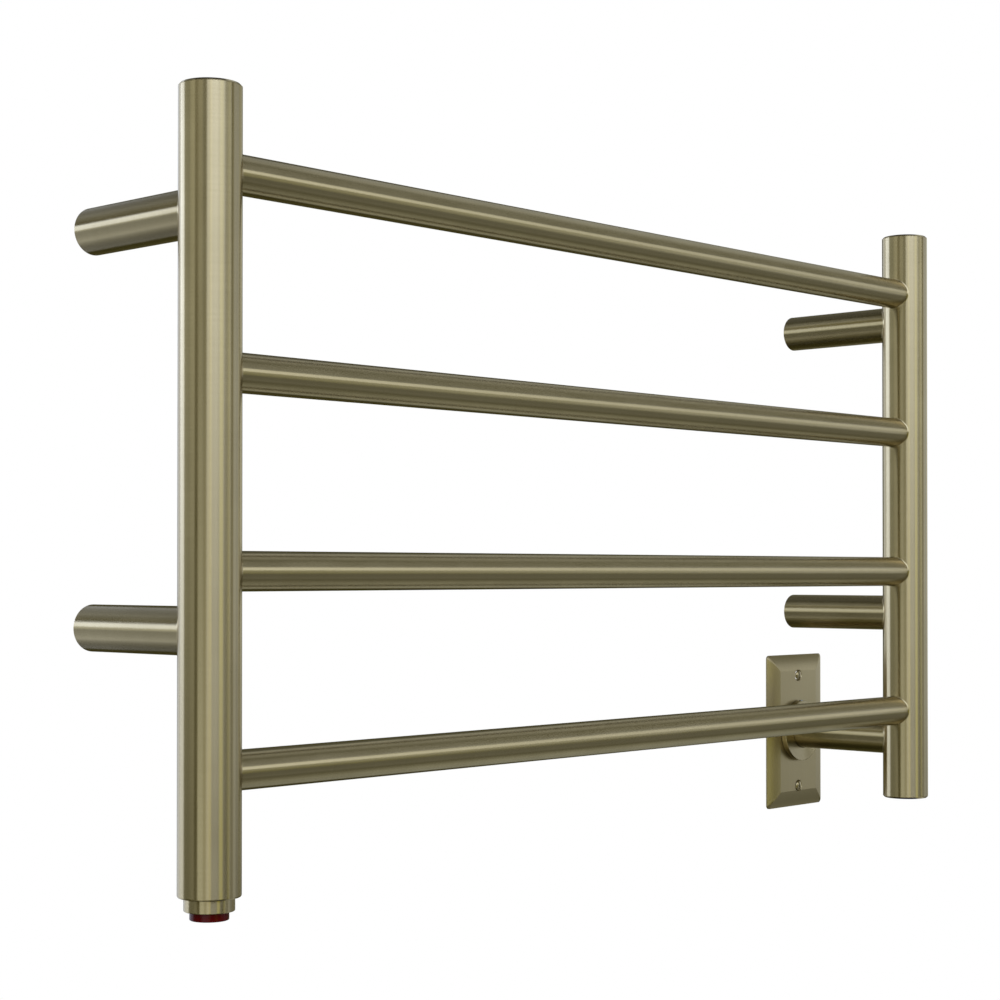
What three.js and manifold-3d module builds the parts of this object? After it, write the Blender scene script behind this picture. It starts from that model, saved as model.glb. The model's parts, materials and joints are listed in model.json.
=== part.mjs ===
// Hard-wired electric towel warmer: two upright posts, four cross bars, four wall standoffs,
// a push-button switch in the foot of the left post, and a wiring arm from the foot of the
// right post to a wall cover plate. Millimetres, +Z up, front face towards -Y.
// The origin is in the wall plane, at the centre of the four standoffs.
import * as THREE from "three";
import { mergeVertices } from "three/addons/utils/BufferGeometryUtils.js";
import Module from "manifold-3d";

// ---- Clearances ----
const GAP = 0.3; // between pieces that seat on, in or beside each other
const SLIDE_GAP = 0.3; // radial, between pieces that slide in each other

// ---- Frame ----
const POST_SPACING = 640; // axis to axis
const POST_OD = 32;
const POST_WALL = 1.5;
const POST_ABOVE_TOP_BAR = 42.5; // top of the cap above the top bar's axis
const POST_BELOW_BOTTOM_BAR = 61.5; // foot of the post below the bottom bar's axis
const BAR_OD = 20.6;
const BAR_WALL = 1.2;
const BAR_COUNT = 4;
const BAR_PITCH = 100;
const BAR_REACH = 1.2; // how far a bar's end stands inside the post's inner wall

// ---- Standoffs and the bases that hold them to the wall ----
const WALL_TO_POST = 98.3; // wall plane to post axis
const STANDOFF_SPACING = 210; // upper to lower, axis to axis
const STANDOFF_BELOW_TOP_BAR = 20;
const STANDOFF_OD = 25;
const STANDOFF_WALL = 1.5;
const BASE_LENGTH = 18;
const BASE_HOLE = 5.2; // for the wall screw
const BASE_SINK = 10; // countersink's mouth
const GRUB_OD = 5;
const GRUB_SOCKET = 2.5; // across the hexagon's flats
const GRUB_SOCKET_DEPTH = 2;
const GRUB_FROM_WALL = 10;
const BASE_GROOVE_DEPTH = 2.4; // where the grub screw's point lands

// ---- Post caps ----
const CAP_LIP = 2; // thickness outside the post
const CAPPED_FOOT_DROP = 1.7; // how much lower the right foot's cap ends than the left post's tube
const CAP_CHAMFER = 0.8;
const CAP_SKIRT = 10;
const CAP_WALL = 3;
const PLUG_SLACK = 0.6; // radial, between a post's bore and what is pushed into it
const SEAL_WIRE = 1.6; // O-ring section
const SEAL_DEPTH = 5; // O-ring's middle, into the post from its end
const SEAL_SLACK = 0.2; // radial, between a post's bore and the O-ring

// ---- Switch in the left post's foot ----
const NOSE_OD = 25.5;
const NOSE_LENGTH = 6.85;
const HOUSING_RECESS = 0.8; // the housing's shoulder sits this far inside the post
const HOUSING_LENGTH = 16; // into the post from its end
const BUTTON_OD = 19.7;
const BUTTON_PROUD = 4.5;
const BUTTON_CHAMFER = 0.4;
const BUTTON_WALL = 1.8;
const BUTTON_FACE = 2.2;
const BUTTON_TRAVEL = 2.5;
const FLANGE_OD = 22;
const FLANGE_THICK = 2;
const LEDGE_DEPTH = 2.5; // where the button's flange lands, into the post from its end
const PLUNGER_DISC = 1.5;
const PLUNGER_OD = 8;
const PLUNGER_BORE = 5.8;
const PLUNGER_ENGAGEMENT = 3.2; // how far the plunger stands in the switch module at rest
const LIGHT_GUIDE_OD = 5;
const LIGHT_GUIDE_TO_FACE = 4; // between the guide's tip and the button's face, at rest
const SPRING_MEAN = 10.6;
const SPRING_WIRE = 0.9;
const SPRING_TURNS = 4;
const MODULE_OD = 26;
const MODULE_LENGTH = 20;
const CUTOFF_OD = 12;
const CUTOFF_LENGTH = 6;

// ---- Wiring arm and cover plate ----
const ARM_BELOW_BOTTOM_BAR = 20;
const ARM_OD = 25;
const ARM_WALL = 1.5;
const BUSHING_WALL = 1.6;
const BUSHING_LENGTH = 8;
const BUSHING_FLANGE = 1;
const PLATE_WIDTH = 69.85;
const PLATE_HEIGHT = 114.3;
const PLATE_RISE = 4.8; // wall plane to face
const PLATE_SHEET = 1.2;
const PLATE_EDGE = 0.8; // height of the upright rim below the bevel
const PLATE_BEVEL = 12; // width of the curved bevel
const PLATE_CORNER = 3;
const PLATE_SCREW_SPACING = 83.3;
const COLLAR_OD = 45;
const COLLAR_HEIGHT = 4.2;
const COLLAR_CHAMFER = 0.5;
const COLLAR_NECK_OD = 31;
const LOCKNUT_ACROSS_FLATS = 38;
const LOCKNUT_THICK = 2.4;
const COLLAR_GRUB_OD = 3;
const COLLAR_GRUB_PROUD = 0.5;
const COLLAR_GRUB_SOCKET = 1.5;
const SCREW_HEAD_OD = 7.2;
const SCREW_HEAD_DEPTH = 2.2;
const SCREW_DOME = 0.9;
const SCREW_OD = 3.4;
const SCREW_LENGTH = 19; // from the plate's face
const SLOT_WIDTH = 1;
const SLOT_DEPTH = 1;

// ---- Electrics ----
const CABLE_OD = 5;
const CABLE_SLACK = 0.5; // between the cable and the bottom bar's bore
const SWITCH_LEAD_OD = 5;
const SWITCH_LEAD_SLACK = 2.7; // between the lead and the bottom bar's bore, which they share
const WIRE_OD = 2.6;
const WIRE_BEND = 4;
const WIRE_SPREAD = 4; // height between the arm's axis and the live or earth wire
const SPLICE_OD = 8;
const SPLICE_LENGTH = 13;
const SPLICE_BELOW_ARM = 13.5;
const SPLICE_CIRCLE = 7; // radius on which splices and earth wire stand about the post's axis
const COLD_JOINT_OD = 6.4;
const COLD_JOINT_LENGTH = 16;
const END_SEAL_OD = 7;
const END_SEAL_LENGTH = 14;
const END_SEAL_ABOVE_BAR = 16;
const EARTH_BOSS_OD = 8;
const EARTH_BOSS_HEIGHT = 3.5;
const EARTH_RING_OD = 8;
const EARTH_RING_THICK = 0.8;
const EARTH_TONGUE = 9; // from the ring's centre to the tongue's end
const EARTH_TONGUE_WIDTH = 4;
const EARTH_SCREW_HEAD = 6.6;
const EARTH_SCREW_HEAD_THICK = 2;
const EARTH_SCREW_OD = 3.4;
const EARTH_SCREW_REACH = 3.8;

// ---- Facets ----
const ROUND = 28; // sides of a tube or a turned piece
const SMALL_ROUND = 16; // sides of a screw, a splice or another small piece
const WIRE_ROUND = 6; // sides of a cable, a lead or a ring's section
const BEND_STEPS = 4;
const COIL_STEPS = 12; // along each turn of the spring
const BEVEL_STEPS = 4;
const CORNER_STEPS = 4; // round each corner of the cover plate
const MERGE = 1e-5; // vertices closer than this are one
const OVERRUN = 1; // how far a cutting tool runs past the face that it opens

// ---- Places worked out from the sizes above ----
const postR = POST_OD / 2;
const postBore = postR - POST_WALL;
const plugR = postBore - PLUG_SLACK;
const barR = BAR_OD / 2;
const barInset = Math.sqrt(postBore ** 2 - barR ** 2) - BAR_REACH; // bar's end to post axis
const standoffR = STANDOFF_OD / 2;
const baseR = standoffR - STANDOFF_WALL - GAP;
const barBore = barR - BAR_WALL;
const armR = ARM_OD / 2;
const armBore = armR - ARM_WALL;
const bushingR = armBore - GAP;
const armEnd = -(BUSHING_FLANGE + 2 * GAP);
const upperZ = STANDOFF_SPACING / 2;
const barZ = (i) => upperZ + STANDOFF_BELOW_TOP_BAR - i * BAR_PITCH;
const bottomBarZ = barZ(BAR_COUNT - 1);
const postTop = barZ(0) + POST_ABOVE_TOP_BAR;
const postFoot = bottomBarZ - POST_BELOW_BOTTOM_BAR;
const cappedFoot = postFoot - CAPPED_FOOT_DROP;
const armZ = bottomBarZ - ARM_BELOW_BOTTOM_BAR;
const capSeat = CAP_LIP + GAP; // from a cap's outer face to the tube's end
const nutFace = -(PLATE_RISE - PLATE_SHEET - GAP);
const collarSeat = -(PLATE_RISE + GAP);

const wasm = await Module();
wasm.setup();

// ---- Finishes ----
const finish = (color, metalness, roughness) =>
  new THREE.MeshStandardMaterial({ color, metalness, roughness });
const brushedBrass = finish(0x9a8f6c, 1, 0.32);
const steel = finish(0x9b9c9e, 1, 0.4);
const redLens = finish(0x6b0612, 0, 0.15);
const clearAcrylic = finish(0xd8dcdc, 0, 0.1);
const blackPlastic = finish(0x1b1b1d, 0, 0.5);
const sealRubber = finish(0x141414, 0, 0.85);
const heatingSheath = finish(0xb5522c, 0, 0.6);
const liveSheath = finish(0x17171a, 0, 0.5);
const neutralSheath = finish(0xe6e4de, 0, 0.5);
const earthSheath = finish(0x2f7d3a, 0, 0.5);
const crimpSleeve = finish(0x8f9aa6, 0, 0.5);

// ---- Geometry helpers ----

const at = (x, y, z) => new THREE.Vector3(x, y, z);

// A turned solid about +Z. The outline is [radius, z] pairs going anticlockwise round the
// section, from the axis back to the axis, or round a closed section clear of the axis.
function turned(outline, sides = ROUND) {
  const points = outline.map(([r, z]) => new THREE.Vector2(r, z));
  if (outline[0][0] > 0) points.push(points[0].clone());
  return new THREE.LatheGeometry(points, sides).rotateX(Math.PI / 2);
}

const rod = (radius, z0, z1, sides = ROUND) =>
  turned([[0, z0], [radius, z0], [radius, z1], [0, z1]], sides);

const tube = (radius, bore, z0, z1, sides = ROUND) =>
  turned([[radius, z0], [radius, z1], [bore, z1], [bore, z0]], sides);

const hexagon = (acrossFlats, z0, z1) => rod(acrossFlats / Math.sqrt(3), z0, z1, 6);

const ring = (outerRadius, section, z) =>
  new THREE.TorusGeometry(outerRadius - section / 2, section / 2, WIRE_ROUND, ROUND).translate(0, 0, z);

const alongX = (geometry) => geometry.rotateY(Math.PI / 2);
const alongY = (geometry) => geometry.rotateX(-Math.PI / 2);

function toSolid(geometry) {
  const bare = new THREE.BufferGeometry();
  bare.setAttribute("position", geometry.getAttribute("position").clone());
  bare.setIndex(geometry.index);
  const merged = mergeVertices(bare, MERGE);
  const vertProperties = merged.getAttribute("position").array;
  const triVerts = new Uint32Array(merged.index.array);
  return new wasm.Manifold(new wasm.Mesh({ numProp: 3, vertProperties, triVerts }));
}

function toGeometry(solid) {
  const mesh = solid.getMesh();
  const geometry = new THREE.BufferGeometry();
  geometry.setAttribute("position", new THREE.BufferAttribute(mesh.vertProperties, 3));
  geometry.setIndex(new THREE.BufferAttribute(mesh.triVerts, 1));
  return geometry;
}

const cut = (body, ...tools) =>
  toGeometry(tools.reduce((solid, tool) => solid.subtract(toSolid(tool)), toSolid(body)));

const join = (first, ...others) =>
  toGeometry(others.reduce((solid, other) => solid.add(toSolid(other)), toSolid(first)));

const common = (first, second) => toGeometry(toSolid(first).intersect(toSolid(second)));

// A path through listed stations, whose parameter runs evenly from station to station, so that
// a sweep along it has one step on a straight run and short steps only in the bends.
class Route extends THREE.Curve {
  constructor(stations) {
    super();
    this.stations = stations;
  }
  getPoint(t, target = new THREE.Vector3()) {
    const last = this.stations.length - 1;
    const place = Math.min(Math.max(t, 0), 1) * last;
    const i = Math.min(Math.floor(place), last - 1);
    return target.lerpVectors(this.stations[i], this.stations[i + 1], place - i);
  }
  getUtoTmapping(u) {
    return u;
  }
}

function sweep(stations, diameter) {
  const section = new THREE.Shape(
    Array.from({ length: WIRE_ROUND }, (_, k) => {
      const angle = (2 * Math.PI * k) / WIRE_ROUND;
      return new THREE.Vector2(Math.cos(angle), Math.sin(angle)).multiplyScalar(diameter / 2);
    }),
  );
  const extrudePath = new Route(stations);
  return new THREE.ExtrudeGeometry(section, { steps: stations.length - 1, extrudePath });
}

// A round wire from corner to corner, with each corner rounded off to the bend's setback.
function wire(corners, diameter, bend) {
  const stations = [corners[0]];
  for (let i = 1; i < corners.length - 1; i++) {
    const towards = (point) => point.clone().sub(corners[i]).setLength(bend).add(corners[i]);
    const arc = new THREE.QuadraticBezierCurve3(
      towards(corners[i - 1]),
      corners[i],
      towards(corners[i + 1]),
    );
    stations.push(...arc.getPoints(BEND_STEPS));
  }
  stations.push(corners[corners.length - 1]);
  return sweep(stations, diameter);
}

// ---- The assembly ----
const rack = new THREE.Group();

function add(name, geometry, material, x = 0, y = 0, z = 0) {
  const mesh = new THREE.Mesh(geometry, material);
  mesh.name = name;
  mesh.position.set(x, y, z);
  rack.add(mesh);
}

const sides = [["left", -1], ["right", 1]];
const postX = (side) => (side * POST_SPACING) / 2;

// ---- Posts and bars ----

// A post's tube. A capped end stops short by the cap's lip; the left foot is open for the switch.
function addPosts() {
  for (const [name, side] of sides) {
    const foot = side < 0 ? postFoot : cappedFoot + capSeat;
    const inward = [-side * POST_OD, 0].sort((a, b) => a - b);
    const barHole = (_, i) => alongX(rod(barR + GAP, ...inward)).translate(0, 0, barZ(i));
    const holes = Array.from({ length: BAR_COUNT }, barHole);
    if (side > 0) holes.push(alongY(rod(armBore, 0, POST_OD)).translate(0, 0, armZ));
    const post = cut(tube(postR, postBore, foot, postTop - capSeat), ...holes);
    add(`${name}_post`, post, brushedBrass, postX(side), -WALL_TO_POST);
  }
}

function addBars() {
  const halfLength = POST_SPACING / 2 - barInset;
  for (let i = 0; i < BAR_COUNT; i++) {
    const bar = alongX(tube(barR, barBore, -halfLength, halfLength));
    add(`bar_${i + 1}`, bar, brushedBrass, 0, -WALL_TO_POST, barZ(i));
  }
}

// ---- Caps ----

// A cap in its own frame: outer face at z = 0, skirt towards +z into the tube.
function cap() {
  const skirtEnd = capSeat + CAP_SKIRT;
  const inner = plugR - CAP_WALL;
  const groove = tube(
    postR,
    postBore - SEAL_SLACK - SEAL_WIRE - GAP,
    capSeat + SEAL_DEPTH - SEAL_WIRE / 2 - GAP,
    capSeat + SEAL_DEPTH + SEAL_WIRE / 2 + GAP,
  );
  const outline = [
    [0, 0],
    [postR - CAP_CHAMFER, 0],
    [postR, CAP_CHAMFER],
    [postR, CAP_LIP],
    [plugR, CAP_LIP],
    [plugR, skirtEnd],
    [inner, skirtEnd],
    [inner, CAP_LIP],
    [0, CAP_LIP],
  ];
  return cut(turned(outline), groove);
}

// The right foot's cap carries a boss inside, for the earth screw.
function earthedCap() {
  const boss = rod(EARTH_BOSS_OD / 2, CAP_LIP / 2, CAP_LIP + EARTH_BOSS_HEIGHT, SMALL_ROUND);
  const holeFoot = CAP_LIP + EARTH_BOSS_HEIGHT - EARTH_SCREW_REACH - GAP;
  const hole = rod(EARTH_SCREW_OD / 2 + GAP, holeFoot, POST_OD, SMALL_ROUND);
  return cut(join(cap(), boss), hole);
}

function addCaps() {
  const seal = () => ring(postBore - SEAL_SLACK, SEAL_WIRE, capSeat + SEAL_DEPTH);
  for (const [name, side] of sides) {
    add(`${name}_top_cap`, cap().rotateX(Math.PI), brushedBrass, postX(side), -WALL_TO_POST, postTop);
    add(`${name}_top_seal`, seal().rotateX(Math.PI), sealRubber, postX(side), -WALL_TO_POST, postTop);
  }
  add("right_bottom_cap", earthedCap(), brushedBrass, postX(1), -WALL_TO_POST, cappedFoot);
  add("right_bottom_seal", seal(), sealRubber, postX(1), -WALL_TO_POST, cappedFoot);
}

// ---- Standoffs ----

// Cuts the end of a tube that meets a post to the post's round, with the tube's axis along y.
function saddled(sleeve) {
  const reach = Math.max(STANDOFF_OD, ARM_OD);
  return cut(sleeve, rod(postR + GAP, -reach, reach).translate(0, -WALL_TO_POST, 0));
}

// A hexagon-socket grub screw from radius r0 to r1, in its own frame along +z.
function grub(diameter, r0, r1, acrossFlats) {
  const socket = hexagon(acrossFlats, r1 - GRUB_SOCKET_DEPTH, r1 + OVERRUN);
  return cut(rod(diameter / 2, r0, r1, SMALL_ROUND), socket);
}

function standoffSleeve() {
  const sleeve = alongY(tube(standoffR, standoffR - STANDOFF_WALL, -WALL_TO_POST, -GAP));
  const grubHole = rod(GRUB_OD / 2 + GAP, -STANDOFF_OD, 0, SMALL_ROUND);
  return cut(saddled(sleeve), grubHole.translate(0, -GRUB_FROM_WALL, 0));
}

function standoffBase() {
  const holeR = BASE_HOLE / 2;
  const sinkR = BASE_SINK / 2;
  const grooveR = baseR - BASE_GROOVE_DEPTH;
  const grooveHalf = GRUB_OD / 2 + GAP;
  const outline = [
    [holeR, 0],
    [baseR, 0],
    [baseR, GRUB_FROM_WALL - grooveHalf],
    [grooveR, GRUB_FROM_WALL - grooveHalf],
    [grooveR, GRUB_FROM_WALL + grooveHalf],
    [baseR, GRUB_FROM_WALL + grooveHalf],
    [baseR, BASE_LENGTH],
    [sinkR, BASE_LENGTH],
    [holeR, BASE_LENGTH - (sinkR - holeR)],
  ];
  return turned(outline, SMALL_ROUND).rotateX(Math.PI / 2);
}

function addStandoffs() {
  for (const [sideName, side] of sides) {
    for (const [heightName, z] of [["upper", upperZ], ["lower", -upperZ]]) {
      const name = `${sideName}_${heightName}`;
      const point = baseR - BASE_GROOVE_DEPTH + GAP;
      const screw = grub(GRUB_OD, point, standoffR - GAP, GRUB_SOCKET);
      add(`${name}_standoff`, standoffSleeve(), brushedBrass, postX(side), 0, z);
      add(`${name}_base`, standoffBase(), steel, postX(side), 0, z);
      add(`${name}_grub`, screw.rotateX(Math.PI), steel, postX(side), -GRUB_FROM_WALL, z);
    }
  }
}

// ---- Switch, in a frame with z = 0 at the left post's foot and +z up into the post ----
const noseR = NOSE_OD / 2;
const buttonR = BUTTON_OD / 2;
const flangeR = FLANGE_OD / 2;
const plungerR = PLUNGER_OD / 2;
const buttonFoot = -(NOSE_LENGTH + BUTTON_PROUD);
const flangeFoot = LEDGE_DEPTH + GAP;
const flangeTop = flangeFoot + FLANGE_THICK;
const plungerFoot = flangeTop + GAP;
const plungerSeat = plungerFoot + PLUNGER_DISC;
const moduleFoot = HOUSING_LENGTH + GAP;
const moduleTop = moduleFoot + MODULE_LENGTH;
const plungerTop = moduleFoot + PLUNGER_ENGAGEMENT;
const moduleSocketTop = plungerTop + BUTTON_TRAVEL + 2 * GAP;
const cutoffTop = moduleTop + GAP + CUTOFF_LENGTH;

function switchHousing() {
  const slideR = buttonR + SLIDE_GAP;
  const flangeBore = flangeR + SLIDE_GAP;
  const outline = [
    [slideR, -NOSE_LENGTH],
    [noseR - COLLAR_CHAMFER, -NOSE_LENGTH],
    [noseR, COLLAR_CHAMFER - NOSE_LENGTH],
    [noseR, HOUSING_RECESS],
    [plugR, HOUSING_RECESS],
    [plugR, HOUSING_LENGTH],
    [flangeBore, HOUSING_LENGTH],
    [flangeBore, LEDGE_DEPTH],
    [slideR, LEDGE_DEPTH],
  ];
  return turned(outline);
}

// The red lens is a cup, open upwards, with a flange that stops it in the housing.
function pushButton() {
  const inner = buttonR - BUTTON_WALL;
  const outline = [
    [0, buttonFoot],
    [buttonR - BUTTON_CHAMFER, buttonFoot],
    [buttonR, buttonFoot + BUTTON_CHAMFER],
    [buttonR, flangeFoot],
    [flangeR, flangeFoot],
    [flangeR, flangeTop],
    [inner, flangeTop],
    [inner, buttonFoot + BUTTON_FACE],
    [0, buttonFoot + BUTTON_FACE],
  ];
  return turned(outline);
}

function plunger() {
  const bore = PLUNGER_BORE / 2;
  const outline = [
    [bore, plungerFoot],
    [flangeR, plungerFoot],
    [flangeR, plungerSeat],
    [plungerR, plungerSeat],
    [plungerR, plungerTop],
    [bore, plungerTop],
  ];
  return turned(outline, SMALL_ROUND);
}

function returnSpring() {
  const meanR = SPRING_MEAN / 2;
  const z0 = plungerSeat + GAP + SPRING_WIRE / 2;
  const z1 = moduleFoot - GAP - SPRING_WIRE / 2;
  const steps = SPRING_TURNS * COIL_STEPS;
  const station = (_, i) => {
    const angle = (2 * Math.PI * i) / COIL_STEPS;
    const z = THREE.MathUtils.lerp(z0, z1, i / steps);
    return at(meanR * Math.cos(angle), meanR * Math.sin(angle), z);
  };
  return sweep(Array.from({ length: steps + 1 }, station), SPRING_WIRE);
}

function switchModule() {
  const socketR = plungerR + SLIDE_GAP;
  return turned([
    [0, moduleSocketTop],
    [socketR, moduleSocketTop],
    [socketR, moduleFoot],
    [MODULE_OD / 2, moduleFoot],
    [MODULE_OD / 2, moduleTop],
    [0, moduleTop],
  ]);
}

function addSwitch() {
  const guideFoot = buttonFoot + BUTTON_FACE + LIGHT_GUIDE_TO_FACE;
  const guide = rod(LIGHT_GUIDE_OD / 2, guideFoot, moduleSocketTop - GAP, SMALL_ROUND);
  const cutoff = rod(CUTOFF_OD / 2, moduleTop + GAP, cutoffTop, SMALL_ROUND);
  const pieces = [
    ["switch_housing", switchHousing(), brushedBrass],
    ["push_button", pushButton(), redLens],
    ["button_plunger", plunger(), blackPlastic],
    ["return_spring", returnSpring(), steel],
    ["light_guide", guide, clearAcrylic],
    ["switch_module", switchModule(), blackPlastic],
    ["thermal_cutoff", cutoff, steel],
  ];
  for (const [name, geometry, material] of pieces) {
    add(name, geometry, material, postX(-1), -WALL_TO_POST, postFoot);
  }
}

// ---- Wiring arm, its collar and the cover plate, in a frame centred on the arm's axis ----

function addArm() {
  const arm = saddled(alongY(tube(armR, armBore, -WALL_TO_POST, armEnd)));
  add("wiring_arm", arm, brushedBrass, postX(1), 0, armZ);
  const lipR = armR - GAP;
  const outline = [
    [bushingR - BUSHING_WALL, GAP],
    [lipR, GAP],
    [lipR, GAP + BUSHING_FLANGE],
    [bushingR, GAP + BUSHING_FLANGE],
    [bushingR, GAP + BUSHING_LENGTH],
    [bushingR - BUSHING_WALL, GAP + BUSHING_LENGTH],
  ];
  add("wire_bushing", turned(outline, SMALL_ROUND).rotateX(Math.PI / 2), blackPlastic, postX(1), 0, armZ);
}

// The collar's neck passes through the plate and takes the locknut behind it.
function addCollar() {
  const bore = armR + GAP;
  const neckR = COLLAR_NECK_OD / 2;
  const faceR = COLLAR_OD / 2;
  const face = -collarSeat + COLLAR_HEIGHT;
  const neckEnd = -nutFace - LOCKNUT_THICK;
  const outline = [
    [bore, neckEnd],
    [neckR, neckEnd],
    [neckR, -collarSeat],
    [faceR, -collarSeat],
    [faceR, face - COLLAR_CHAMFER],
    [faceR - COLLAR_CHAMFER, face],
    [bore, face],
  ];
  const grubY = collarSeat - COLLAR_HEIGHT / 2;
  const grubHole = rod(COLLAR_GRUB_OD / 2 + GAP, 0, COLLAR_OD, SMALL_ROUND).translate(0, grubY, 0);
  const collar = cut(turned(outline).rotateX(Math.PI / 2), grubHole);
  const locknut = cut(hexagon(LOCKNUT_ACROSS_FLATS, neckEnd, -nutFace), rod(neckR + GAP, 0, COLLAR_OD));
  const grubScrew = grub(COLLAR_GRUB_OD, bore, faceR + COLLAR_GRUB_PROUD, COLLAR_GRUB_SOCKET);
  add("arm_collar", collar, brushedBrass, postX(1), 0, armZ);
  add("arm_locknut", locknut.rotateX(Math.PI / 2), steel, postX(1), 0, armZ);
  add("collar_grub", grubScrew, steel, postX(1), grubY, armZ);
}

// A block with a quarter-ellipse bevel all round its front, in the wall plane's frame.
function bevelledBlock(width, height, rise, edge, bevel) {
  const halfW = width / 2 - bevel;
  const halfH = height / 2 - bevel;
  const face = new THREE.Shape([
    new THREE.Vector2(-halfW, -halfH),
    new THREE.Vector2(halfW, -halfH),
    new THREE.Vector2(halfW, halfH),
    new THREE.Vector2(-halfW, halfH),
  ]);
  const block = new THREE.ExtrudeGeometry(face, {
    depth: 2 * edge,
    bevelThickness: rise - edge,
    bevelSize: bevel,
    bevelSegments: BEVEL_STEPS,
  });
  return block.translate(0, 0, -edge).rotateX(Math.PI / 2);
}

// The half space in front of the wall, within a rectangle with rounded corners.
function frontPrism(width, height, corner, depth) {
  const shape = new THREE.Shape();
  const [x, z] = [width / 2 - corner, height / 2 - corner];
  const quarter = Math.PI / 2;
  shape.absarc(x, z, corner, 0, quarter);
  shape.absarc(-x, z, corner, quarter, 2 * quarter);
  shape.absarc(-x, -z, corner, 2 * quarter, 3 * quarter);
  shape.absarc(x, -z, corner, 3 * quarter, 4 * quarter);
  const settings = { depth, bevelEnabled: false, curveSegments: CORNER_STEPS };
  const prism = new THREE.ExtrudeGeometry(shape, settings);
  return prism.rotateX(Math.PI / 2);
}

const screwHeights = [["upper", 1], ["lower", -1]];
const screwZ = (end) => (end * PLATE_SCREW_SPACING) / 2;

// A cone from the head's rim at the plate's face down to the shank, larger all round by slack.
function headCone(slack) {
  const rim = SCREW_HEAD_OD / 2 + slack;
  const shank = SCREW_OD / 2 + slack;
  const outline = [
    [0, PLATE_RISE - SCREW_HEAD_DEPTH],
    [shank, PLATE_RISE - SCREW_HEAD_DEPTH],
    [rim, PLATE_RISE],
    [rim, PLATE_RISE + slack],
    [0, PLATE_RISE + slack],
  ];
  return turned(outline, SMALL_ROUND).rotateX(Math.PI / 2);
}

function wallPlate() {
  const outer = bevelledBlock(PLATE_WIDTH, PLATE_HEIGHT, PLATE_RISE, PLATE_EDGE, PLATE_BEVEL);
  const pocketWidth = PLATE_WIDTH - 2 * PLATE_SHEET;
  const pocketHeight = PLATE_HEIGHT - 2 * PLATE_SHEET;
  const pocketRise = PLATE_RISE - PLATE_SHEET;
  const pocket = bevelledBlock(pocketWidth, pocketHeight, pocketRise, PLATE_EDGE, PLATE_BEVEL);
  const prism = frontPrism(PLATE_WIDTH, PLATE_HEIGHT, PLATE_CORNER, 2 * PLATE_RISE);
  const neckHole = alongY(rod(COLLAR_NECK_OD / 2 + GAP, -2 * PLATE_RISE, PLATE_RISE));
  const screwHoles = screwHeights.map(([, end]) => headCone(GAP).translate(0, 0, screwZ(end)));
  return cut(common(outer, prism), pocket, neckHole, ...screwHoles);
}

function plateScrew() {
  const dome = PLATE_RISE + SCREW_DOME;
  const rim = SCREW_HEAD_OD / 2;
  const shank = SCREW_OD / 2;
  const outline = [
    [0, PLATE_RISE - SCREW_LENGTH],
    [shank, PLATE_RISE - SCREW_LENGTH],
    [shank, PLATE_RISE - SCREW_HEAD_DEPTH],
    [rim, PLATE_RISE],
    [rim * Math.SQRT1_2, PLATE_RISE + SCREW_DOME * Math.SQRT1_2],
    [0, dome],
  ];
  const slot = new THREE.BoxGeometry(SCREW_HEAD_OD, SLOT_WIDTH, 2 * SLOT_DEPTH).translate(0, 0, dome);
  return cut(turned(outline, SMALL_ROUND), slot).rotateX(Math.PI / 2);
}

function addPlate() {
  add("wall_plate", wallPlate(), brushedBrass, postX(1), 0, armZ);
  for (const [name, end] of screwHeights) {
    add(`${name}_plate_screw`, plateScrew(), brushedBrass, postX(1), 0, armZ + screwZ(end));
  }
}

// ---- Electrics, in the right post about its axis ----
const onCircle = (degrees) => {
  const angle = THREE.MathUtils.degToRad(degrees);
  return [SPLICE_CIRCLE * Math.cos(angle), SPLICE_CIRCLE * Math.sin(angle)];
};
const livePlace = onCircle(90);
const switchedPlace = onCircle(210);
const neutralPlace = onCircle(330);
const earthPlace = onCircle(30);
const spliceTop = armZ - SPLICE_BELOW_ARM;
const leadX = (livePlace[0] + switchedPlace[0]) / 2; // the switch lead lands between two splices
const leadY = (livePlace[1] + switchedPlace[1]) / 2;
const leadReach = barBore - SWITCH_LEAD_OD / 2 - SWITCH_LEAD_SLACK;
const leadBelow = Math.sqrt(leadReach ** 2 - leadY ** 2); // below the bottom bar's axis
const cableReach = barBore - CABLE_OD / 2 - CABLE_SLACK;
const cableForward = -switchedPlace[1]; // in front of the axes of posts and bars
const cableAbove = Math.sqrt(cableReach ** 2 - cableForward ** 2); // above the bottom bar's axis
const earthSeat = cappedFoot + CAP_LIP + EARTH_BOSS_HEIGHT + GAP;
const coldJointTop = spliceTop + GAP + COLD_JOINT_LENGTH;
const cableEnd = barZ(0) + END_SEAL_ABOVE_BAR;

// One length of twin heating cable: up from the cold joint, back and forth through the bars,
// and up to its end seal in the right post.
function heatingCable() {
  const corners = [at(postX(1), -cableForward, coldJointTop + GAP)];
  for (let i = BAR_COUNT - 1; i >= 0; i--) {
    const from = (BAR_COUNT - i) % 2 === 1 ? 1 : -1;
    const z = barZ(i) + (i === BAR_COUNT - 1 ? cableAbove : 0);
    corners.push(at(postX(from), -cableForward, z), at(postX(-from), -cableForward, z));
  }
  corners.push(at(corners[corners.length - 1].x, -cableForward, cableEnd));
  return wire(corners, CABLE_OD, barInset);
}

function switchLead() {
  const z = bottomBarZ - leadBelow;
  const [rightX, leftX] = [postX(1) + leadX, postX(-1) - leadX];
  const corners = [
    at(rightX, leadY, spliceTop + GAP),
    at(rightX, leadY, z),
    at(leftX, leadY, z),
    at(leftX, leadY, postFoot + cutoffTop + GAP),
  ];
  return wire(corners, SWITCH_LEAD_OD, barInset + leadX);
}

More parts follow.
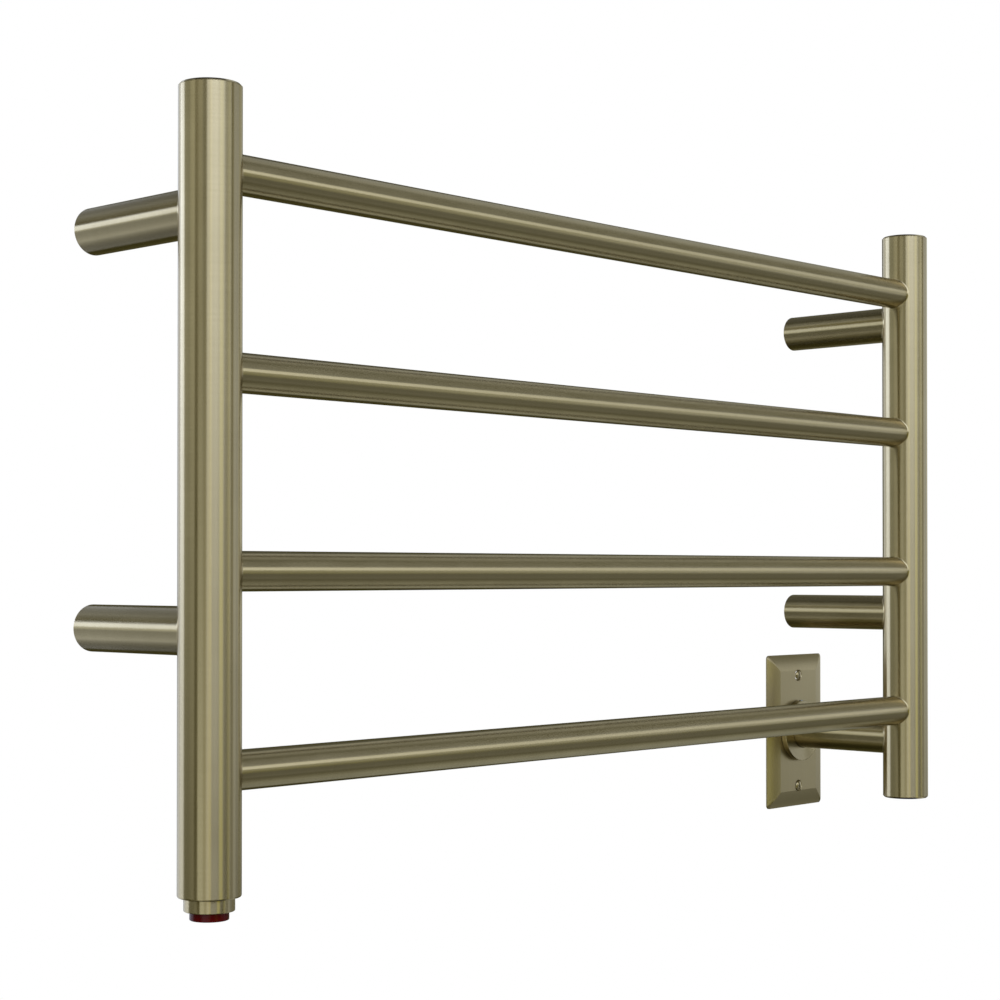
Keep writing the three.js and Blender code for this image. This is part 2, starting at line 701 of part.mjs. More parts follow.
// A supply wire from the bushing, along the arm and down to its splice or terminal.
const supplyWire = ([x, y], height, foot) =>
  wire([at(x, WALL_TO_POST - GAP, height), at(x, y, height), at(x, y, foot + GAP)], WIRE_OD, WIRE_BEND);

function earthTerminal() {
  const holeR = EARTH_SCREW_OD / 2 + GAP;
  const angle = Math.atan2(earthPlace[1], earthPlace[0]);
  const tongue = new THREE.BoxGeometry(EARTH_TONGUE, EARTH_TONGUE_WIDTH, EARTH_RING_THICK)
    .translate(EARTH_TONGUE / 2, 0, EARTH_RING_THICK / 2)
    .rotateZ(angle);
  const disc = rod(EARTH_RING_OD / 2, 0, EARTH_RING_THICK, SMALL_ROUND);
  return cut(join(disc, tongue), rod(holeR, -OVERRUN, EARTH_RING_THICK + OVERRUN, SMALL_ROUND));
}

function earthScrew() {
  const seat = EARTH_RING_THICK + GAP;
  const shank = EARTH_SCREW_OD / 2;
  const outline = [
    [0, -EARTH_SCREW_REACH],
    [shank, -EARTH_SCREW_REACH],
    [shank, seat],
    [EARTH_SCREW_HEAD / 2, seat],
    [EARTH_SCREW_HEAD / 2, seat + EARTH_SCREW_HEAD_THICK],
    [0, seat + EARTH_SCREW_HEAD_THICK],
  ];
  return turned(outline, SMALL_ROUND);
}

function addElectrics() {
  const splice = rod(SPLICE_OD / 2, spliceTop - SPLICE_LENGTH, spliceTop, SMALL_ROUND);
  const coldJoint = rod(COLD_JOINT_OD / 2, spliceTop + GAP, coldJointTop, SMALL_ROUND);
  const endSeal = rod(END_SEAL_OD / 2, cableEnd + GAP, cableEnd + GAP + END_SEAL_LENGTH, SMALL_ROUND);
  const endX = postX(BAR_COUNT % 2 === 0 ? 1 : -1);
  const [x, y] = [postX(1), -WALL_TO_POST];
  add("heating_cable", heatingCable(), heatingSheath, 0, y);
  add("cold_joint", coldJoint, crimpSleeve, x, y - cableForward);
  add("cable_end_seal", endSeal, sealRubber, endX, y - cableForward);
  add("switch_lead", switchLead(), liveSheath, 0, y);
  add("live_splice", splice.clone(), crimpSleeve, x + livePlace[0], y + livePlace[1]);
  add("switched_splice", splice.clone(), crimpSleeve, x + switchedPlace[0], y + switchedPlace[1]);
  add("neutral_splice", splice.clone(), crimpSleeve, x + neutralPlace[0], y + neutralPlace[1]);
  add("supply_live", supplyWire(livePlace, armZ + WIRE_SPREAD, spliceTop), liveSheath, x, y);
  add("supply_neutral", supplyWire(neutralPlace, armZ, spliceTop), neutralSheath, x, y);
  const earthWire = supplyWire(earthPlace, armZ - WIRE_SPREAD, earthSeat + EARTH_RING_THICK);
  add("supply_earth", earthWire, earthSheath, x, y);
  add("earth_terminal", earthTerminal(), steel, x, y, earthSeat);
  add("earth_screw", earthScrew(), steel, x, y, earthSeat);
}

addPosts();
addBars();
addCaps();
addStandoffs();
addSwitch();
addArm();
addCollar();
addPlate();
addElectrics();

export default rack;
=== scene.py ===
"""Hard-wired electric towel warmer in brushed brass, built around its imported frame.

Every size is in metres, in the frame's own axes: +X along the bars, +Y into the wall, +Z up.
Each sub-assembly is a class that takes its place from the frame, builds smooth meshes for the
pieces that show, and gives the hidden pieces of the frame their finishes.
"""
import json
import logging
import math
from dataclasses import dataclass
from enum import Enum
from typing import Callable, Sequence

import bmesh
import bpy
from mathutils import Matrix, Vector

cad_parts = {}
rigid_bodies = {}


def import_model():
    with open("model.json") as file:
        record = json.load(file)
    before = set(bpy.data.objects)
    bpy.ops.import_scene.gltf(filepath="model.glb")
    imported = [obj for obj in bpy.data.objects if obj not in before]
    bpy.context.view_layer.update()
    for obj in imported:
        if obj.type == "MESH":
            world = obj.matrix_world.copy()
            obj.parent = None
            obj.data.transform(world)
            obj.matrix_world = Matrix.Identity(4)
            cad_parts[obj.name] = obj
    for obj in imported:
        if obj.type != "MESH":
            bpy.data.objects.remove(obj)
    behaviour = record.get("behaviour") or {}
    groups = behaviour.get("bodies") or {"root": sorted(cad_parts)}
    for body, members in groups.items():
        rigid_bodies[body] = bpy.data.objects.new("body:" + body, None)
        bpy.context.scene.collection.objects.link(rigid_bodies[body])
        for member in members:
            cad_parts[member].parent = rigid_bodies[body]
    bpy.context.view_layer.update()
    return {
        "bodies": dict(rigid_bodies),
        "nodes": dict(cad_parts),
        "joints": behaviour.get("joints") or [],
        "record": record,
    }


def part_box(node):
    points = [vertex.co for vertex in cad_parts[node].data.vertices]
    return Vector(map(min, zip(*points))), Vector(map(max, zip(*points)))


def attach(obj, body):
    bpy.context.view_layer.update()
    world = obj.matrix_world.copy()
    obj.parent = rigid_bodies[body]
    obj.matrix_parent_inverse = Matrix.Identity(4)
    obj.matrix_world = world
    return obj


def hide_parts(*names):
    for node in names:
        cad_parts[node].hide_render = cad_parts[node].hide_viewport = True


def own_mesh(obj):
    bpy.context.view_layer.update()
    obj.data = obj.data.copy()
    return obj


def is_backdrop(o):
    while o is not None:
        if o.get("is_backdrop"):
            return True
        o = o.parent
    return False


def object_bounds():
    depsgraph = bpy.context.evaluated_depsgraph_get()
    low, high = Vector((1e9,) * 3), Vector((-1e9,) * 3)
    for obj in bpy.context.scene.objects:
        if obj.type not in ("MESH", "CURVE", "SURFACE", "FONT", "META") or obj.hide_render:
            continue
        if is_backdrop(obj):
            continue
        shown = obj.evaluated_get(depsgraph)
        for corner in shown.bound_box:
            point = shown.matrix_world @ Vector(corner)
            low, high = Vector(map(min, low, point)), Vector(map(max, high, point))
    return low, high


MM = 0.001
ROUND_SIDES = 96
SMALL_SIDES = 48
FILLET_STEPS = 6
SHARP_ANGLE = math.radians(38)
BRUSH_MAP = "brush"
NOISE_RANGE = {1: 0.3, 2: 0.7}  # where nearly all of a noise lies, as a Map Range node's inputs

log = logging.getLogger("towel_warmer")

Row = Callable[[float], tuple[float, float]]
Outline = Sequence[tuple[float, float, float]]


class Facing(Enum):
    """The direction in the frame that a piece's own +Z axis points in."""

    RIGHT = (0.0, math.pi / 2, 0.0)
    WALL = (-math.pi / 2, 0.0, 0.0)
    ROOM = (math.pi / 2, 0.0, 0.0)
    UP = (0.0, 0.0, 0.0)
    DOWN = (math.pi, 0.0, 0.0)

    def placed_at(self, centre: Vector) -> Matrix:
        """Returns the matrix that turns a piece this way and carries it to centre."""
        x, y, z = self.value
        turn = Matrix.Rotation(z, 4, "Z") @ Matrix.Rotation(y, 4, "Y") @ Matrix.Rotation(x, 4, "X")
        return Matrix.Translation(centre) @ turn


# ---------------------------------------------------------------- node trees


def add_node(tree: bpy.types.NodeTree, kind: str, settings: dict | None = None, **inputs) -> bpy.types.Node:
    """Adds one node, sets its properties and fills or links its inputs.

    Args:
        tree: The tree that the node is added to.
        kind: The node's type name.
        settings: Property names and values, and input values or sockets keyed by number.
        inputs: Input values or sockets keyed by name, with _ for a space.

    Returns:
        The new node.
    """
    node = tree.nodes.new(kind)
    by_socket = {name.replace("_", " "): value for name, value in inputs.items()}
    for key, value in (settings or {}).items():
        if isinstance(key, int):
            by_socket[key] = value
        else:
            setattr(node, key, value)
    for key, value in by_socket.items():
        if isinstance(value, bpy.types.NodeSocket):
            tree.links.new(value, node.inputs[key])
        else:
            node.inputs[key].default_value = value
    return node


def linear(hex_colour: str) -> tuple[float, float, float, float]:
    """Returns an sRGB hex colour as linear red, green, blue and an alpha of one."""
    channels = [int(hex_colour[i : i + 2], 16) / 255 for i in (1, 3, 5)]
    return (*(c / 12.92 if c <= 0.04045 else ((c + 0.055) / 1.055) ** 2.4 for c in channels), 1.0)


# ---------------------------------------------------------------- mesh tools


def rounded(outline: Outline) -> list[tuple[float, float]]:
    """Rounds the corners of an outline.

    Args:
        outline: Corners as radius, height and fillet radius.

    Returns:
        The outline's points, with an arc in place of each corner that has a fillet.
    """
    points: list[tuple[float, float]] = []
    count = len(outline)
    for i, (r, z, fillet) in enumerate(outline):
        corner = Vector((r, z))
        if fillet <= 0:
            points.append((r, z))
            continue
        before = (Vector(outline[i - 1][:2]) - corner).normalized()
        after = (Vector(outline[(i + 1) % count][:2]) - corner).normalized()
        half = before.angle(after) / 2
        centre = corner + (before + after).normalized() * (fillet / math.sin(half))
        start = corner + before * (fillet / math.tan(half)) - centre
        end = corner + after * (fillet / math.tan(half)) - centre
        sweep = start.angle_signed(end)
        for k in range(FILLET_STEPS + 1):
            spoke = start.copy()
            spoke.rotate(Matrix.Rotation(-sweep * k / FILLET_STEPS, 2))
            points.append(tuple(centre + spoke))
    return points


def to_mesh(body: bmesh.types.BMesh) -> bpy.types.Mesh:
    """Turns a body's faces outwards and returns it as a mesh."""
    bmesh.ops.recalc_face_normals(body, faces=body.faces)
    mesh = bpy.data.meshes.new("body")
    body.to_mesh(mesh)
    body.free()
    return mesh


def skin(rows: Sequence[Row], sides: int, place: Matrix, closed: bool = False) -> bpy.types.Mesh:
    """Skins a round body from rows of points, with the brush map in millimetres.

    The map's first axis runs from row to row and its second axis runs round the body, which is
    the way that the brush lines go.

    Args:
        rows: For each row, a function from the angle to the radius and height.
        sides: How many points a row has.
        place: Carries the body from its own axes to the frame's.
        closed: Whether the last row joins the first, as on a tube's wall.

    Returns:
        The mesh, whose rows of no radius are single points.
    """
    body = bmesh.new()
    brush = body.loops.layers.uv.new(BRUSH_MAP)
    angles = [2 * math.pi * k / sides for k in range(sides)]
    rings: list[list[bmesh.types.BMVert]] = []
    for row in rows:
        points = [row(a) for a in angles]
        if max(r for r, _ in points) < 1e-9:
            rings.append([body.verts.new(place @ Vector((0, 0, points[0][1])))] * sides)
            continue
        ring = [Vector((r * math.cos(a), r * math.sin(a), z)) for a, (r, z) in zip(angles, points)]
        rings.append([body.verts.new(place @ p) for p in ring])
    widest = max(row(0)[0] for row in rows)
    along = [0.0]
    for low, high in zip(rows, [*rows[1:], rows[0]]):
        along.append(along[-1] + math.dist(low(0), high(0)))
    last = len(rows) if closed else len(rows) - 1
    for i in range(last):
        low, high = rings[i], rings[(i + 1) % len(rows)]
        for k in range(sides):
            j = (k + 1) % sides
            points = [(low[k], i, k), (low[j], i, k + 1), (high[j], i + 1, k + 1), (high[k], i + 1, k)]
            points = [p for n, p in enumerate(points) if p[0] is not points[n - 1][0]]
            face = body.faces.new([p[0] for p in points])
            for loop, (_, r, s) in zip(face.loops, points):
                loop[brush].uv = (along[r] / MM, 2 * math.pi * s / sides * widest / MM)
    return to_mesh(body)


def turned(outline: Outline, sides: int, place: Matrix) -> bpy.types.Mesh:
    """Turns an outline about its own +Z axis.

    Args:
        outline: Corners as radius, height and fillet radius, from axis to axis or round a wall.
        sides: How many sides the body has.
        place: Carries the body to the frame.

    Returns:
        The mesh.
    """
    rows: list[Row] = [lambda _, p=point: p for point in rounded(outline)]
    return skin(rows, sides, place, closed=outline[0][0] > 0)


def shown(name: str, mesh: bpy.types.Mesh) -> bpy.types.Object:
    """Puts a mesh in the scene and returns its object."""
    thing = bpy.data.objects.new(name, mesh)
    bpy.context.collection.objects.link(thing)
    return thing


def evaluated(thing: bpy.types.Object) -> bpy.types.Mesh:
    """Returns an object's mesh with its modifiers applied."""
    return bpy.data.meshes.new_from_object(thing.evaluated_get(bpy.context.evaluated_depsgraph_get()))


def carve(mesh: bpy.types.Mesh, cutters: Sequence[bpy.types.Mesh]) -> bpy.types.Mesh:
    """Cuts closed meshes out of a closed mesh.

    Args:
        mesh: The body.
        cutters: What is taken away.

    Returns:
        A new mesh.
    """
    body = shown("carved", mesh)
    tools = [shown("cutter", cutter) for cutter in cutters]
    for tool in tools:
        modifier = body.modifiers.new("cut", "BOOLEAN")
        modifier.object = tool
        modifier.operation = "DIFFERENCE"
        modifier.solver = "EXACT"
    result = evaluated(body)
    for used in (body, *tools):
        bpy.data.objects.remove(used)
    return result


def brush_flat(mesh: bpy.types.Mesh, across: Vector, along: Vector) -> bpy.types.Mesh:
    """Lays the brush map flat on a sheet piece, in millimetres.

    Args:
        mesh: The piece.
        across: The direction across the brush lines.
        along: The direction of the brush lines.

    Returns:
        The same mesh.
    """
    layer = mesh.uv_layers.get(BRUSH_MAP) or mesh.uv_layers.new(name=BRUSH_MAP)
    for loop in mesh.loops:
        point = mesh.vertices[loop.vertex_index].co
        layer.data[loop.index].uv = (point.dot(across) / MM, point.dot(along) / MM)
    return mesh


@dataclass(frozen=True)
class GridRepeat:
    """A Geometry Nodes tree that sets copies of a piece out in columns and rows."""

    columns: int = 1
    rows: int = 1
    column_step: Vector = Vector((0, 0, 0))
    row_step: Vector = Vector((0, 0, 0))

    @staticmethod
    def tree() -> bpy.types.NodeTree:
        """Returns the tree, made once."""
        name = "repeat_in_columns_and_rows"
        if name in bpy.data.node_groups:
            return bpy.data.node_groups[name]
        tree = bpy.data.node_groups.new(name, "GeometryNodeTree")
        sockets = (
            ("Piece", "NodeSocketGeometry"),
            ("Columns", "NodeSocketInt"),
            ("Rows", "NodeSocketInt"),
            ("Column step", "NodeSocketVector"),
            ("Row step", "NodeSocketVector"),
            ("Finish", "NodeSocketMaterial"),
        )
        for label, kind in sockets:
            tree.interface.new_socket(label, in_out="INPUT", socket_type=kind)
        tree.interface.new_socket("Pieces", in_out="OUTPUT", socket_type="NodeSocketGeometry")
        given = tree.nodes.new("NodeGroupInput").outputs
        piece = given["Piece"]
        for count, step in (("Rows", "Row step"), ("Columns", "Column step")):
            line = add_node(tree, "GeometryNodeMeshLine", Count=given[count], Offset=given[step])
            copies = add_node(tree, "GeometryNodeInstanceOnPoints", Points=line.outputs[0], Instance=piece)
            piece = add_node(tree, "GeometryNodeRealizeInstances", Geometry=copies.outputs[0]).outputs[0]
        dressed = add_node(tree, "GeometryNodeSetMaterial", Geometry=piece, Material=given["Finish"])
        tree.links.new(dressed.outputs[0], tree.nodes.new("NodeGroupOutput").inputs[0])
        return tree

    def apply(self, mesh: bpy.types.Mesh, finish: bpy.types.Material) -> bpy.types.Mesh:
        """Repeats a piece.

        Args:
            mesh: The first copy, in its place.
            finish: What the copies are made of.

        Returns:
            One plain mesh of all the copies.
        """
        holder = shown("repeat", mesh)
        modifier = holder.modifiers.new("repeat", "NODES")
        tree = self.tree()
        modifier.node_group = tree
        values = {
            "Columns": self.columns,
            "Rows": self.rows,
            "Column step": self.column_step,
            "Row step": self.row_step,
            "Finish": finish,
        }
        for item in tree.interface.items_tree:
            if item.in_out == "INPUT" and item.name in values:
                modifier[item.identifier] = values[item.name]
        result = evaluated(holder)
        bpy.data.objects.remove(holder)
        return result


def piece(
    name: str,
    mesh: bpy.types.Mesh,
    finish: bpy.types.Material,
    body: str,
    nodes: Sequence[str],
    sharp: float = SHARP_ANGLE,
) -> bpy.types.Object:
    """Adds a finished piece to the scene and hides the frame's nodes that it stands for.

    Args:
        name: The piece's name.
        mesh: Its mesh, in place.
        finish: What it is made of.
        body: The body that it moves with.
        nodes: The frame's nodes that it replaces.
        sharp: The least angle between two faces that reads as an edge.

    Returns:
        The piece.
    """
    mesh.name = name
    mesh.materials.clear()
    mesh.materials.append(finish)
    mesh.polygons.foreach_set("material_index", [0] * len(mesh.polygons))
    mesh.polygons.foreach_set("use_smooth", [True] * len(mesh.polygons))
    mesh.set_sharp_from_angle(angle=sharp)
    thing = shown(f"{name}_visual", mesh)
    even = thing.modifiers.new("even_normals", "WEIGHTED_NORMAL")
    even.keep_sharp = True
    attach(thing, body)
    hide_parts(*nodes)
    log.info("%s: %d faces, for %s", name, len(mesh.polygons), ", ".join(nodes))
    return thing


# ---------------------------------------------------------------- finishes


def new_material(name: str, slot: str) -> tuple[bpy.types.Material, bpy.types.NodeTree]:
    """Makes an empty material.

    Args:
        name: The material's name.
        slot: The record's slot that it belongs to.

    Returns:
        The material and its node tree, which is empty.
    """
    material = bpy.data.materials.new(name)
    material.use_nodes = True
    material.node_tree.nodes.clear()
    material["slot"] = slot
    return material, material.node_tree


def finish_with(tree: bpy.types.NodeTree, shader: bpy.types.Node) -> None:
    """Joins a shader to the material's output."""
    add_node(tree, "ShaderNodeOutputMaterial", Surface=shader.outputs[0])


@dataclass(frozen=True)
class BrushedBrass:
    """Champagne brass, brushed with an abrasive belt while it turned and then lacquered.

    The belt leaves fine lines round every tube, so a reflection is drawn out along the tube and
    stays crisp across it. A satin or polished piece has less spread.
    """

    name: str = "brushed_brass"
    colour: str = "#b7a983"
    worn: str = "#a3946c"
    roughness: float = 0.25
    spread: float = 0.97
    line_mm: float = 0.7  # the real lines are 0.1 mm apart, too fine to show
    line_length_mm: float = 40.0
    line_colour: float = 0.15  # how much of the worn colour the deepest lines show
    line_roughness: float = 0.005
    cloud_mm: float = 34.0
    cloud_roughness: float = 0.012

    def build(self) -> bpy.types.Material:
        """Returns the material."""
        material, tree = new_material(self.name, "brushed_brass")
        brush = add_node(tree, "ShaderNodeUVMap", {"uv_map": BRUSH_MAP}).outputs["UV"]
        stretch = (1 / self.line_mm, 1 / self.line_length_mm, 1.0)
        drawn = add_node(tree, "ShaderNodeMapping", Vector=brush, Scale=stretch)
        lines = add_node(
            tree, "ShaderNodeTexNoise", {"noise_dimensions": "2D"},
            Vector=drawn.outputs[0], Scale=1.0, Detail=3.0, Roughness=0.65,
        ).outputs["Fac"]
        place = add_node(tree, "ShaderNodeTexCoord").outputs["Object"]
        clouds = add_node(
            tree, "ShaderNodeTexNoise",
            Vector=place, Scale=1 / (self.cloud_mm * MM), Detail=2.0, Roughness=0.5,
        ).outputs["Fac"]
        shade = add_node(
            tree, "ShaderNodeMapRange", {0: lines, **NOISE_RANGE, 3: 0.0, 4: self.line_colour},
        ).outputs[0]
        ends = {6: linear(self.colour), 7: linear(self.worn)}
        colour = add_node(tree, "ShaderNodeMix", {"data_type": "RGBA", 0: shade, **ends}).outputs[2]
        least, most = self.roughness - self.line_roughness, self.roughness + self.line_roughness
        grain = add_node(
            tree, "ShaderNodeMapRange", {0: lines, **NOISE_RANGE, 3: least, 4: most},
        ).outputs[0]
        swing = self.cloud_roughness
        haze = add_node(
            tree, "ShaderNodeMapRange", {0: clouds, 1: 0.35, 2: 0.65, 3: -swing, 4: swing},
        ).outputs[0]
        rough = add_node(tree, "ShaderNodeMath", {"operation": "ADD", 0: grain, 1: haze}).outputs[0]
        lie = add_node(
            tree, "ShaderNodeTangent", {"direction_type": "UV_MAP", "uv_map": BRUSH_MAP},
        ).outputs[0]
        shader = add_node(
            tree, "ShaderNodeBsdfPrincipled", Base_Color=colour, Metallic=1.0, Roughness=rough,
            Anisotropic=self.spread, Tangent=lie,
        )
        finish_with(tree, shader)
        return material


@dataclass(frozen=True)
class RedAcrylic:
    """Deep red transparent acrylic, moulded and polished: a dark body with a wet, sharp gloss, and painted
    shade that darkens it towards the rim.
    """

    colour: str = "#560004"
    painted_rim_shade: str = "#340003"
    glossiest: float = 0.2
    dullest: float = 0.3
    gloss: float = 0.2
    ior: float = 1.49
    rim: float = 0.35  # how far in from the rim the painted shade reaches, where the face turns from the view
    glow: float = 0.1
    glow_depth: float = 1.0 * MM
    swirl_mm: float = 5.0

    def build(self) -> bpy.types.Material:
        """Returns the material."""
        material, tree = new_material("red_acrylic", "red_lens")
        place = add_node(tree, "ShaderNodeTexCoord").outputs["Object"]
        swirl = add_node(
            tree, "ShaderNodeTexNoise", Vector=place, Scale=1 / (self.swirl_mm * MM), Detail=2.0,
        ).outputs["Fac"]
        # Painted shade: the colour darkens towards the rim, where the face turns from the view, broken up by
        # the swirl.
        rim = add_node(tree, "ShaderNodeLayerWeight", Blend=self.rim).outputs["Facing"]
        edge = add_node(tree, "ShaderNodeMath", {"operation": "MULTIPLY", 0: rim, 1: swirl}).outputs[0]
        ends = {6: linear(self.colour), 7: linear(self.painted_rim_shade)}
        colour = add_node(tree, "ShaderNodeMix", {"data_type": "RGBA", 0: edge, **ends}).outputs[2]
        rough = add_node(
            tree, "ShaderNodeMapRange", {0: swirl, **NOISE_RANGE, 3: self.glossiest, 4: self.dullest},
        ).outputs[0]
        shader = add_node(
            tree, "ShaderNodeBsdfPrincipled", Base_Color=colour, Roughness=rough, IOR=self.ior,
            Specular_IOR_Level=self.gloss, Subsurface_Weight=self.glow, Subsurface_Scale=self.glow_depth,
        )
        finish_with(tree, shader)
        return material


@dataclass(frozen=True)
class Plain:
    """A common workshop material whose colour and gloss vary a little over a known distance."""

    name: str
    slot: str
    colour: str
    shade: str
    roughness: float
    grain_mm: float
    metallic: float = 0.0
    ior: float = 1.5
    relief: float = 0.4
    relief_mm: float = 0.02
    swing: float = 0.06  # how far the roughness varies

    def build(self) -> bpy.types.Material:
        """Returns the material."""
        material, tree = new_material(self.name, self.slot)
        place = add_node(tree, "ShaderNodeTexCoord").outputs["Object"]
        grain = add_node(
            tree, "ShaderNodeTexNoise",
            Vector=place, Scale=1 / (self.grain_mm * MM), Detail=4.0, Roughness=0.6,
        ).outputs["Fac"]
        ends = {6: linear(self.colour), 7: linear(self.shade)}
        colour = add_node(tree, "ShaderNodeMix", {"data_type": "RGBA", 0: grain, **ends}).outputs[2]
        least, most = self.roughness - self.swing, self.roughness + self.swing
        rough = add_node(
            tree, "ShaderNodeMapRange", {0: grain, **NOISE_RANGE, 3: least, 4: most},
        ).outputs[0]
        relief = add_node(
            tree, "ShaderNodeBump", Height=grain, Strength=self.relief, Distance=self.relief_mm * MM,
        ).outputs[0]
        shader = add_node(
            tree, "ShaderNodeBsdfPrincipled", Base_Color=colour, Metallic=self.metallic, Roughness=rough,
            IOR=self.ior, Normal=relief,
        )
        finish_with(tree, shader)
        return material


# Brass on the cover plate: brushed flat with a finer belt, so it reads as satin.
SATIN_BRASS = BrushedBrass("satin_brass", roughness=0.36, spread=0.3)
# Brass on the caps: polished before the lacquer, with no lines to draw a reflection out.
POLISHED_BRASS = BrushedBrass("polished_brass", roughness=0.16, spread=0.0)
# Zinc-plated steel: a dull, faintly blue metal.
ZINC_STEEL = Plain("zinc_plated_steel", "steel", "#a9acb0", "#8d9094", 0.38, 1.2, metallic=1.0)
# Glass-filled nylon, moulded black with a fine spark-eroded texture.
BLACK_NYLON = Plain("black_nylon", "black_plastic", "#1c1c1f", "#29292c", 0.5, 0.6, ior=1.53)
# EPDM rubber: black and matt, with a greyish bloom.
EPDM_RUBBER = Plain("epdm_rubber", "seal_rubber", "#141414", "#232321", 0.8, 1.5, ior=1.52)
# Silicone sheath of the heating cable, extruded brick red.
SILICONE_SHEATH = Plain("silicone_sheath", "heating_sheath", "#b5522c", "#a04624", 0.55, 3.0, ior=1.41)
# PVC sheaths of the leads, extruded and slightly glossy.
LIVE_PVC = Plain("black_pvc", "live_sheath", "#18181a", "#232326", 0.42, 3.0, ior=1.54)
NEUTRAL_PVC = Plain("white_pvc", "neutral_sheath", "#e6e4de", "#d8d5cc", 0.42, 3.0, ior=1.54)
EARTH_PVC = Plain("green_pvc", "earth_sheath", "#2f7d3a", "#276a31", 0.42, 3.0, ior=1.54)
# Heat-shrink polyolefin over the crimps, translucent grey with soft wrinkles.
SHRINK_SLEEVE = Plain("polyolefin_sleeve", "crimp_sleeve", "#8f9aa6", "#7d8893", 0.45, 2.0, ior=1.51)
# Clear acrylic light guide, polished at its ends.
CLEAR_ACRYLIC = Plain("clear_acrylic", "clear_acrylic", "#d8dcdc", "#cdd3d3", 0.12, 4.0, ior=1.49)


# ---------------------------------------------------------------- the frame's places


def corners(node: str) -> tuple[Vector, Vector]:
    """Returns the low and high corners of a node's box."""
    low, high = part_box(node)
    return Vector(low), Vector(high)


def middle(node: str) -> Vector:
    """Returns the middle of a node's box."""
    low, high = corners(node)
    return (low + high) / 2


def size(node: str) -> Vector:
    """Returns the three sides of a node's box."""
    low, high = corners(node)
    return high - low


# ---------------------------------------------------------------- sub-assemblies


@dataclass
class Weld:
    """The thin fillet where one tube is welded to the round of another."""

    host_radius: float
    leg: float = 0.45 * MM
    steps: int = 6
    root: float = 0.8 * MM  # how far the branch runs into the host's wall

    def rows(self, radius: float, bore: float, host: float, sign: int) -> list[Row]:
        """Rows of points from the branch's straight run out to its inner end in the host.

        Args:
            radius: The branch's outer radius.
            bore: The branch's inner radius.
            host: Height of the host's axis on the branch's own axis, with the host along x.
            sign: 1 where the host is above the branch, -1 where it is below.

        Returns:
            The rows, from the straight run inwards.
        """
        flare = []
        for k in range(self.steps + 1):
            t = 1 - k / self.steps
            swell = self.leg * (1 - math.sqrt(1 - (1 - t) ** 2))
            flare.append(self._row(radius + swell, self.leg * t, host, sign))
        root = self._row(radius + self.leg, -self.root, host, sign)
        return [*flare, root, lambda angle: (bore, root(angle)[1])]

    def _row(self, radius: float, reach: float, host: float, sign: int) -> Row:
        """A row of points that follows the host's round.

        Args:
            radius: The row's radius on the branch.
            reach: How far off the host's surface it stands.
            host: Height of the host's axis on the branch's own axis.
            sign: 1 where the host is above the branch, -1 where it is below.

        Returns:
            The function from the angle to the radius and height.
        """
        return lambda angle: (
            radius,
            host - sign * (math.sqrt(self.host_radius**2 - (radius * math.sin(angle)) ** 2) + reach),
        )


@dataclass
class Posts:
    """The two upright tubes, with the polished caps on their ends."""

    brass: bpy.types.Material
    polished: bpy.types.Material
    wall: float = 1.5 * MM
    end_round: float = 1.0 * MM
    capped_round: float = 0.1 * MM
    cap_chamfer: float = 1.1 * MM
    chamfer_round: float = 0.1 * MM
    cap_seam: float = 0.04 * MM
    cap_lip: float = 1.3 * MM
    skirt: float = 8.5 * MM
    clearance: float = 0.3 * MM

    def build(self) -> None:
        """Builds both posts and their caps."""
        for side, open_foot in (("left", True), ("right", False)):
            name = f"{side}_post"
            low, high = corners(name)
            radius = (high.x - low.x) / 2
            centre = Vector(((low.x + high.x) / 2, (low.y + high.y) / 2, 0))
            foot = self.end_round if open_foot else self.capped_round
            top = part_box(f"{side}_top_cap")[1].z - self.cap_lip - self.cap_seam
            bottom = low.z if open_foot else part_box(f"{side}_bottom_cap")[0].z + self.cap_lip + self.cap_seam
            wall = [
                (radius, bottom, foot),
                (radius, top, self.capped_round),
                (radius - self.wall, top, 0),
                (radius - self.wall, bottom, 0),
            ]
            mesh = turned(wall, ROUND_SIDES, Facing.UP.placed_at(centre))
            piece(name, mesh, self.brass, "rack", [name])
        self._caps("top", Facing.DOWN, ["left_top_cap", "right_top_cap"])
        self._caps("bottom", Facing.UP, ["right_bottom_cap"])

    def _caps(self, end: str, facing: Facing, nodes: list[str]) -> None:
        """Builds one end's caps: a lip that covers the tube's end, and a skirt inside it.

        Args:
            end: Which end of the posts this is.
            facing: The way from the cap's face into the tube.
            nodes: The frame's caps, from left to right.
        """
        low, high = corners(nodes[0])
        radius = (high.x - low.x) / 2
        inner = radius - self.wall - 2 * self.clearance
        face = high.z if facing is Facing.DOWN else low.z
        centre = Vector(((low.x + high.x) / 2, (low.y + high.y) / 2, face))
        outline = [
            (0, 0, 0),
            (radius - self.cap_chamfer, 0, self.chamfer_round),
            (radius, self.cap_chamfer, self.chamfer_round),
            (radius, self.cap_lip, self.capped_round),
            (inner, self.cap_lip, 0),
            (inner, self.cap_lip + self.skirt, 0),
            (0, self.cap_lip + self.skirt, 0),
        ]
        mesh = turned(outline, ROUND_SIDES, facing.placed_at(centre))
        spread = middle(nodes[-1]) - middle(nodes[0])
        mesh = GridRepeat(columns=len(nodes), column_step=spread).apply(mesh, self.polished)
        piece(f"{end}_caps", mesh, self.polished, "rack", nodes)


